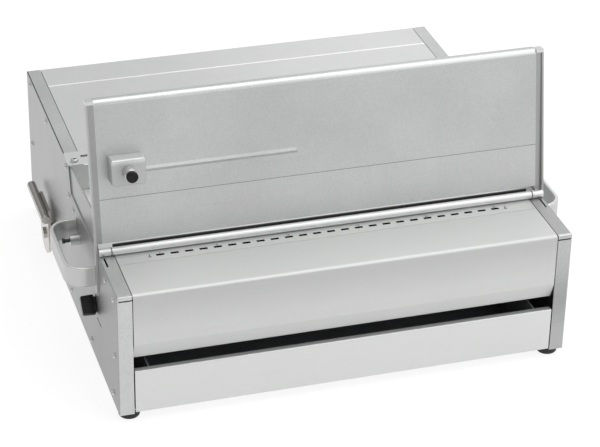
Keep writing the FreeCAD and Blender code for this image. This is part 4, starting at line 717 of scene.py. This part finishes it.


# ------------------------------------------------------------------ throat
# A polished round bar leads the sheets into the throat, and short end pieces carry it. A thin black ring at
# each joint is painted shade, the shadow in the joint, and the black plate behind the bar is the throat's
# rear wall, black as painted shade for the shadow down in the throat.

bar_metal = metal("polished_bar_steel", (0.70, 0.705, 0.70), SIDEWAYS, streak=0.01, patch=0.03, rough=0.44,
                  speckle=0.0, smudge=0.02, metallic=0.95, bump=0.0)
dress(bar_metal, "throat_bar", "throat_bar_ends")
# The throat's rear wall is black as painted shade.
throat_shade_black = moulded("throat_wall_and_joint_shade", (0.035, 0.036, 0.038), rough=0.38, grain=700.0, bump=0.06)
dress(throat_shade_black, "throat_guide")
# Thin black rings at the bar's joints, painted shade for the shadow in each joint.
joint_shade_rings = ((0.0036, -0.0006), (0.00412, -0.0005), (0.00412, 0.0005), (0.0036, 0.0006))
JOINT_SHADE_X, BAR_Y, BAR_Z = 0.2155, -0.1395, 0.144
bm = bmesh.new()
for hand in (-1, 1):
    bar_end = Matrix.Translation((hand * JOINT_SHADE_X, BAR_Y, BAR_Z)) @ Matrix.Rotation(math.pi / 2, 4, "Y")
    turned(bm, joint_shade_rings, place=bar_end)
piece("bar_washers", mesh_from(bm, "bar_washers", (throat_shade_black,)), "case")


# ------------------------------------------------------------------ backrest
# Two leaning plates of bare zinc-coated sheet, the upper one folded back along its top edge. Square bars with
# flat straps hold its ends, and small caps close the bars. A grey strip along the joint of the plates is
# painted shade, the shadow in the gap between them.

BACKREST_FOOT_Y = -0.1338
BACKREST_FOOT_Z = 0.14
lean = math.atan(0.1666)
outward = Vector((0, -math.cos(lean), math.sin(lean)))
upward = Vector((0, math.sin(lean), math.cos(lean)))


def on_backrest(x, depth, level):
    """A place in front of the backrest, with +Z pointing out of it."""
    base = Vector((x, BACKREST_FOOT_Y, BACKREST_FOOT_Z)) + upward * level + outward * depth
    across = upward.cross(outward)
    return Matrix.Translation(base) @ Matrix((across, upward, outward)).transposed().to_4x4()


ROLLED_SHEET = dict(streak=0.03, patch_size=5.5, speckle=0.12, rough=0.40, metallic=0.8)
throat_plate_metal = metal("backrest_zinc_steel", (0.58, 0.588, 0.582), SIDEWAYS, patch=0.22,
                           **ROLLED_SHEET)
dress(throat_plate_metal, "throat_plate")
back_panel_metal = metal("backrest_panel_zinc_steel", (0.565, 0.573, 0.568), SIDEWAYS, patch=0.24,
                         **ROLLED_SHEET)
# A painted highlight lightens the panel along the slot's edges.
slot_track = ("Z", BACKREST_FOOT_Z + 0.0792 * math.cos(lean), BACKREST_FOOT_Z + 0.0824 * math.cos(lean))
slot_length = ("X", -0.200, -0.0262)
bright_zone(back_panel_metal, 1.24, slot_length, slot_track)
# A painted highlight lightens the folded top edge.
folded_top = ("Z", 0.2854, 0.2915)
bright_zone(back_panel_metal, 1.22, folded_top)
dress(back_panel_metal, "backrest_panel")
end_metal = metal("backrest_bar_steel", (0.48, 0.487, 0.48), UPRIGHT, streak=0.08, rough=0.38, metallic=0.8)
# The bars are darkened across part of their width.
left_bar = ("X", -0.2284, -0.2220)
right_bar = ("X", 0.2227, 0.2310)
bright_zone(end_metal, 0.78, left_bar)
bright_zone(end_metal, 0.80, right_bar)
dress(end_metal, "backrest_end_left", "backrest_end_right")
cap_metal = metal("backrest_cap_steel", (0.72, 0.728, 0.72), UPRIGHT, streak=0.03, rough=0.42, metallic=0.8)
dress(cap_metal, "backrest_caps")
# A grey strip along the joint of the plates, painted shade for the shadow in the gap.
seam_shadow_strip = moulded("seam_shadow_grey", (0.16, 0.162, 0.16), rough=0.6, grain=1200.0, bump=0.05)
seam_place = on_backrest(x=0.0, depth=0.0, level=0.0536)
seam_low, seam_high = (-0.2223, -0.00022, -0.0001), (0.2223, 0.00022, 0.00007)
bm = bmesh.new()
block_between(bm, seam_low, seam_high, place=seam_place)
piece("backrest_seam", mesh_from(bm, "backrest_seam", (seam_shadow_strip,)), "case")


# ------------------------------------------------------------------ edge guide
# A milled aluminium block slides along the backrest. A neck through the slot joins it to a plate
# behind, and the stud of the knurled knob presses on the backrest to hold it where it is wanted.

block_metal = metal("guide_block_aluminium", (0.53, 0.538, 0.532), (700, 700, 60), streak=0.04, patch=0.05,
                    rough=0.5, metallic=0.7)
# A painted highlight lightens the block towards its top.
block_top = ("Z", 0.2335, 0.2365)
bright_zone(block_metal, 1.35, fade=block_top)
dress(block_metal, "guide_block", "guide_clamp")


def knurled():
    """Presses crossed ridges into a turned body about Z, between two heights and outside a radius."""
    tree, given, result = new_tree("knurled", (
        ("Ridges", "NodeSocketInt", 24),
        ("Depth", "NodeSocketFloat", 0.0005),
        ("Low", "NodeSocketFloat", 0.0),
        ("High", "NodeSocketFloat", 0.01),
        ("Inner", "NodeSocketFloat", 0.005),
        ("Twist", "NodeSocketFloat", 0.0),
        ("Finish", "NodeSocketMaterial", None),
    ))

    def sums(operation, *values):
        return math_node(tree, operation, *values)

    spot = tree.nodes.new("GeometryNodeInputPosition")
    parts = tree.nodes.new("ShaderNodeSeparateXYZ")
    flat = tree.nodes.new("ShaderNodeCombineXYZ")
    length = tree.nodes.new("ShaderNodeVectorMath")
    length.operation = "LENGTH"
    outward = tree.nodes.new("ShaderNodeVectorMath")
    outward.operation = "NORMALIZE"
    push = tree.nodes.new("ShaderNodeVectorMath")
    push.operation = "SCALE"
    shift = tree.nodes.new("GeometryNodeSetPosition")
    links(tree, (spot.outputs[0], parts.inputs[0]), (parts.outputs[0], flat.inputs[0]),
          (parts.outputs[1], flat.inputs[1]), (flat.outputs[0], length.inputs[0]),
          (flat.outputs[0], outward.inputs[0]))
    angle = sums("ARCTAN2", parts.outputs[1], parts.outputs[0])
    slant = sums("MULTIPLY", parts.outputs[2], given.outputs["Twist"])
    around = sums("MULTIPLY", angle, given.outputs["Ridges"])
    first = sums("COSINE", sums("ADD", around, slant))
    second = sums("COSINE", sums("SUBTRACT", around, slant))
    wave = sums("MAXIMUM", first, second)
    above = sums("GREATER_THAN", parts.outputs[2], given.outputs["Low"])
    below = sums("LESS_THAN", parts.outputs[2], given.outputs["High"])
    outside = sums("GREATER_THAN", length.outputs["Value"], given.outputs["Inner"])
    where = sums("MULTIPLY", sums("MULTIPLY", above, below), outside)
    amount = sums("MULTIPLY", sums("MULTIPLY", sums("SUBTRACT", wave, 1.0), 0.5), given.outputs["Depth"])
    links(tree, (outward.outputs[0], push.inputs[0]), (sums("MULTIPLY", amount, where), push.inputs["Scale"]),
          (push.outputs[0], shift.inputs["Offset"]), (given.outputs["Geometry"], shift.inputs["Geometry"]))
    plain = tree.nodes.new("GeometryNodeRealizeInstances")
    paint = tree.nodes.new("GeometryNodeSetMaterial")
    links(tree, (shift.outputs[0], plain.inputs[0]), (plain.outputs[0], paint.inputs["Geometry"]),
          (given.outputs["Finish"], paint.inputs["Material"]), (paint.outputs[0], result.inputs[0]))
    return tree


knurled_tree = knurled()
clamp_place = on_backrest(x=-0.196, depth=0.0186, level=0.0845)
STUD_RADIUS = 0.00165
KNOB_RADIUS = 0.0065
KNURL_ROWS = 18
knurl_low, knurl_high = 0.0011, 0.0092
knob_rings = [(STUD_RADIUS, -0.0180), (STUD_RADIUS, -0.0002), (0.0058, -0.00001), (KNOB_RADIUS, 0.0005)]
knob_rings += [(KNOB_RADIUS, knurl_low + (knurl_high - knurl_low) * row / KNURL_ROWS)
               for row in range(KNURL_ROWS + 1)]
knob_rings += [(KNOB_RADIUS, 0.0099), (0.0064, 0.0108), (0.0058, 0.0119)]
knob_metal = metal("knob_nickel_plate", (0.70, 0.70, 0.69), (300, 300, 300), rough=0.36, metallic=0.95)
bm = bmesh.new()
turned(bm, knob_rings, steps=192)
clamp_knob = grown("clamp_knob", mesh_from(bm, "clamp_knob", ()), knurled_tree, Finish=knob_metal, Ridges=36,
                   Depth=0.0003, Low=0.0013, High=0.0091, Inner=0.006, Twist=2600.0)
clamp_knob.transform(clamp_place)
piece("clamp_knob", clamp_knob, "clamp_knob", "guide_knob")
black_plastic = moulded("black_plastic", (0.009, 0.009, 0.010), rough=0.34, bump=0.08)
black_plastic.node_tree.nodes["Principled BSDF"].inputs["Specular IOR Level"].default_value = 0.24
cap_rings = ((0.0054, 0.0119), (0.0056, 0.0121), (0.0056, 0.0152), (0.0052, 0.0157), (0.0046, 0.0159),
             (0.0040, 0.0159), (0.0036, 0.0156), (0.0012, 0.0155))
bm = bmesh.new()
turned(bm, cap_rings, place=clamp_place)
piece("clamp_knob_cap", mesh_from(bm, "clamp_knob_cap", (black_plastic,)), "clamp_knob", "guide_knob_cap")


# ------------------------------------------------------------------ carrying handles
# Each is a flat aluminium bar bent to a U and anodised to a silky silver. Its upper edge is lightened with a
# painted highlight. Screws from inside the side panel hold it.

handle_metal = metal("handle_anodised_aluminium", (0.62, 0.625, 0.616), LENGTHWAYS, streak=0.025, patch=0.05,
                     patch_size=20.0, speckle=0.03, rough=0.38, metallic=0.62)
# Painted highlight along the upper edge.
upper_edge = ("Z", 0.1205, 0.1225)
bright_zone(handle_metal, 1.22, fade=upper_edge)
dress(handle_metal, "carry_handle_left", "carry_handle_right")


# ------------------------------------------------------------------ margin dial
# A black moulded bar knob with a light line on its end turns the cam under the paper stop. The line below it
# is a slot in the panel that marks where the dial stands, and the black strip in it is painted shade, the
# shadow inside the slot.

dial_place = (Matrix.Translation((-0.2283, -0.1195, 0.0747)) @ Matrix.Rotation(-math.pi / 2, 4, "Y")
              @ Matrix.Rotation(math.pi / 4, 4, "Z"))


def bar_grip(bm, reach, half_width, rings, place):
    """A bar across a turned base: its ends follow a circle and its (height, inset) rings are stacked."""
    open_angle = math.asin(half_width / reach)
    angles = [end + open_angle * step / 6 for end in (0, math.pi) for step in range(-6, 7)]
    loops = []
    for height, inset in rings:
        narrow = 1 - inset / half_width
        along, across = reach - inset, reach * narrow
        spots = [Vector((along * math.cos(angle), across * math.sin(angle), height)) for angle in angles]
        loops.append([bm.verts.new(place @ spot) for spot in spots])
    skinned(bm, loops, 0)


white_print = moulded("white_print", (0.60, 0.60, 0.58), rough=0.6, grain=2500.0, bump=0.02)
base_rings = ((0.0074, 0.00005), (0.0081, 0.0003), (0.0081, 0.0020), (0.0076, 0.0026), (0.0060, 0.0027))
grip_rings = ((0.0016, 0.0002), (0.0030, 0.0), (0.0126, 0.0003), (0.0136, 0.0006), (0.0142, 0.0014))
light_line_low, light_line_high = (-0.0080, -0.0007, 0.0140), (0.0080, 0.0007, 0.01428)
bm = bmesh.new()
turned(bm, base_rings, place=dial_place)
bar_grip(bm, reach=0.0102, half_width=0.0045, rings=grip_rings, place=dial_place)
block_between(bm, light_line_low, light_line_high, material=1, place=dial_place)
piece("margin_dial", mesh_from(bm, "margin_dial", (black_plastic, white_print)), "dial", "margin_dial")

# The black strip is painted shade, the shadow inside the slot.
pointer_low, pointer_high = (-0.22804, -0.1425, 0.06170), (-0.22745, -0.1247, 0.06310)
bm = bmesh.new()
block_between(bm, pointer_low, pointer_high)
piece("pointer_line", mesh_from(bm, "pointer_line", (ink_and_slot_shade,)), "case")


# ------------------------------------------------------------------ release lever and locking plunger
# The lever is a turned steel bar welded to a round-ended plate. It pivots on the left panel in a
# bronze bush. The sprung plunger in front of it is pulled out by the small knob on its shank.

lever_metal = metal("lever_polished_steel", (0.52, 0.50, 0.475), LENGTHWAYS, streak=0.05, patch=0.06,
                    rough=0.2, metallic=1.0)
dress(lever_metal, "lock_lever")
bronze = metal("sintered_bronze", (0.42, 0.27, 0.13), (400, 400, 400), rough=0.42, metallic=1.0, speckle=0.2)
dress(bronze, "lever_bush", "bearings")
dress(zinc, "plunger_barrel")
BARREL_END_X = -0.2375
plunger_place = Matrix.Translation((BARREL_END_X, -0.046, 0.107)) @ Matrix.Rotation(-math.pi / 2, 4, "Y")
plunger_inner_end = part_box("latch_plunger")[1][0]
tip = BARREL_END_X - plunger_inner_end
plunger_rings = ((0.0014, tip), (0.0020, tip + 0.0006), (0.0020, 0.0049), (0.0024, 0.0050), (0.0028, 0.0054),
                 (0.0028, 0.0058), (0.0024, 0.0061), (0.0024, 0.0064), (0.0028, 0.0067), (0.0028, 0.0074),
                 (0.0022, 0.00795))
black_oxide = metal("black_oxide_steel", (0.07, 0.072, 0.075), (400, 400, 400), rough=0.34, metallic=0.9)
bm = bmesh.new()
turned(bm, plunger_rings, place=plunger_place)
piece("latch_plunger", mesh_from(bm, "latch_plunger", (black_oxide,)), "plunger", "latch_plunger")


# ------------------------------------------------------------------ punch frame, die set and ram
# Machined steel plates: two cheeks, the bed between them and the die plates that hold 25 punch pins.
# Ground faces are bright and carry a thin film of oil. The return springs are wound from spring wire.

frame_paint = moulded("frame_grey_iron", (0.10, 0.105, 0.11), rough=0.5, grain=500.0, bump=0.35, patch=0.3)
dress(frame_paint, "cheek_left", "cheek_right", "spring_brackets")
tool_metal = metal("ground_tool_steel", (0.46, 0.46, 0.45), SIDEWAYS, streak=0.09, patch=0.1, rough=0.28,
                   metallic=1.0, coat=0.15)
dress(tool_metal, "die_bed", "die_front_plate", "die_guide_plate", "punch_pins", "margin_stop", "ram")
shaft_metal = metal("turned_shaft_steel", (0.55, 0.55, 0.54), (30, 900, 900), streak=0.08, rough=0.24,
                    metallic=1.0)
dress(shaft_metal, "drive_shaft", "eccentrics", "dial_shaft", "motor_pulley")


def coiled():
    """A coil of round wire along Z."""
    tree, given, result = new_tree("coiled", (
        ("Turns", "NodeSocketFloat", 12.0),
        ("Radius", "NodeSocketFloat", 0.0033),
        ("Length", "NodeSocketFloat", 0.04),
        ("Wire", "NodeSocketFloat", 0.0007),
        ("Finish", "NodeSocketMaterial", None),
    ))
    coil = tree.nodes.new("GeometryNodeCurveSpiral")
    coil.inputs["Resolution"].default_value = 20
    wire = tree.nodes.new("GeometryNodeCurvePrimitiveCircle")
    wire.inputs["Resolution"].default_value = 10
    sweep = tree.nodes.new("GeometryNodeCurveToMesh")
    sweep.inputs["Fill Caps"].default_value = True
    plain = tree.nodes.new("GeometryNodeRealizeInstances")
    paint = tree.nodes.new("GeometryNodeSetMaterial")
    links(tree,
          (given.outputs["Turns"], coil.inputs["Rotations"]),
          (given.outputs["Radius"], coil.inputs["Start Radius"]),
          (given.outputs["Radius"], coil.inputs["End Radius"]),
          (given.outputs["Length"], coil.inputs["Height"]),
          (given.outputs["Wire"], wire.inputs["Radius"]), (coil.outputs[0], sweep.inputs["Curve"]),
          (wire.outputs["Curve"], sweep.inputs["Profile Curve"]), (sweep.outputs[0], plain.inputs[0]),
          (plain.outputs[0], paint.inputs["Geometry"]), (given.outputs["Finish"], paint.inputs["Material"]),
          (paint.outputs[0], result.inputs[0]))
    return tree


spring_metal = metal("spring_wire", (0.52, 0.52, 0.51), (500, 500, 500), rough=0.25, metallic=1.0)
coil_tree = coiled()
springs_low, springs_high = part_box("return_springs")
SPRING_X = 0.150
END_ROOM = 0.00075
coil_length = springs_high[1] - springs_low[1] - 2 * END_ROOM
coil_level = (springs_low[2] + springs_high[2]) / 2
bm = bmesh.new()
for hand in (-1, 1):
    coil = grown("coil", bpy.data.meshes.new("coil"), coil_tree, Turns=14.0, Radius=0.0033,
                 Length=coil_length, Wire=0.0007, Finish=spring_metal)
    coil.transform(Matrix.Translation((hand * SPRING_X, springs_high[1] - END_ROOM, coil_level))
                   @ Matrix.Rotation(math.pi / 2, 4, "X"))
    bm.from_mesh(coil)
piece("return_coils", mesh_from(bm, "return_coils", (spring_metal,)), "case", "return_springs")


# ------------------------------------------------------------------ gearbox, flywheel, motor and belt
# The cast gearbox and motor are enamelled dark grey and black. The flywheel is turned cast iron.
# A flat rubber belt runs from the motor's pulley to the flywheel.

enamel = moulded("gearbox_enamel", (0.075, 0.085, 0.095), rough=0.42, grain=420.0, bump=0.4, patch=0.2)
dress(enamel, "gearbox")
motor_enamel = moulded("motor_black_enamel", (0.022, 0.022, 0.024), rough=0.34, grain=600.0, bump=0.25)
dress(motor_enamel, "motor")
cast_iron = metal("flywheel_cast_iron", (0.24, 0.24, 0.235), (200, 200, 200), streak=0.1, patch=0.1,
                  speckle=0.2, rough=0.46, metallic=0.9)
dress(cast_iron, "flywheel")
belt_rubber = moulded("belt_rubber", (0.02, 0.02, 0.02), rough=0.7, grain=800.0, bump=0.25)
dress(belt_rubber, "drive_belt")
board_green = moulded("board_green", (0.012, 0.075, 0.035), rough=0.4, grain=300.0, bump=0.1)
dress(board_green, "control_board")


# ------------------------------------------------------------------ chip tray
# A folded steel box, dark grey, spot-welded behind the drawer front. It slides on the base plate under the
# dies and catches the paper chips.

tray_dark_grey = moulded("tray_dark_grey_finish", (0.26, 0.27, 0.285), rough=0.5, grain=700.0, bump=0.15)
dress(tray_dark_grey, "chip_tray")


# ------------------------------------------------------------------ rear fittings
# A moulded mains inlet, a rocker switch in its housing and the foot pedal's socket. All are black
# plastic and sit in cut-outs of the rear panel.

dress(black_plastic, "power_inlet", "switch_housing", "rocker", "pedal_socket")
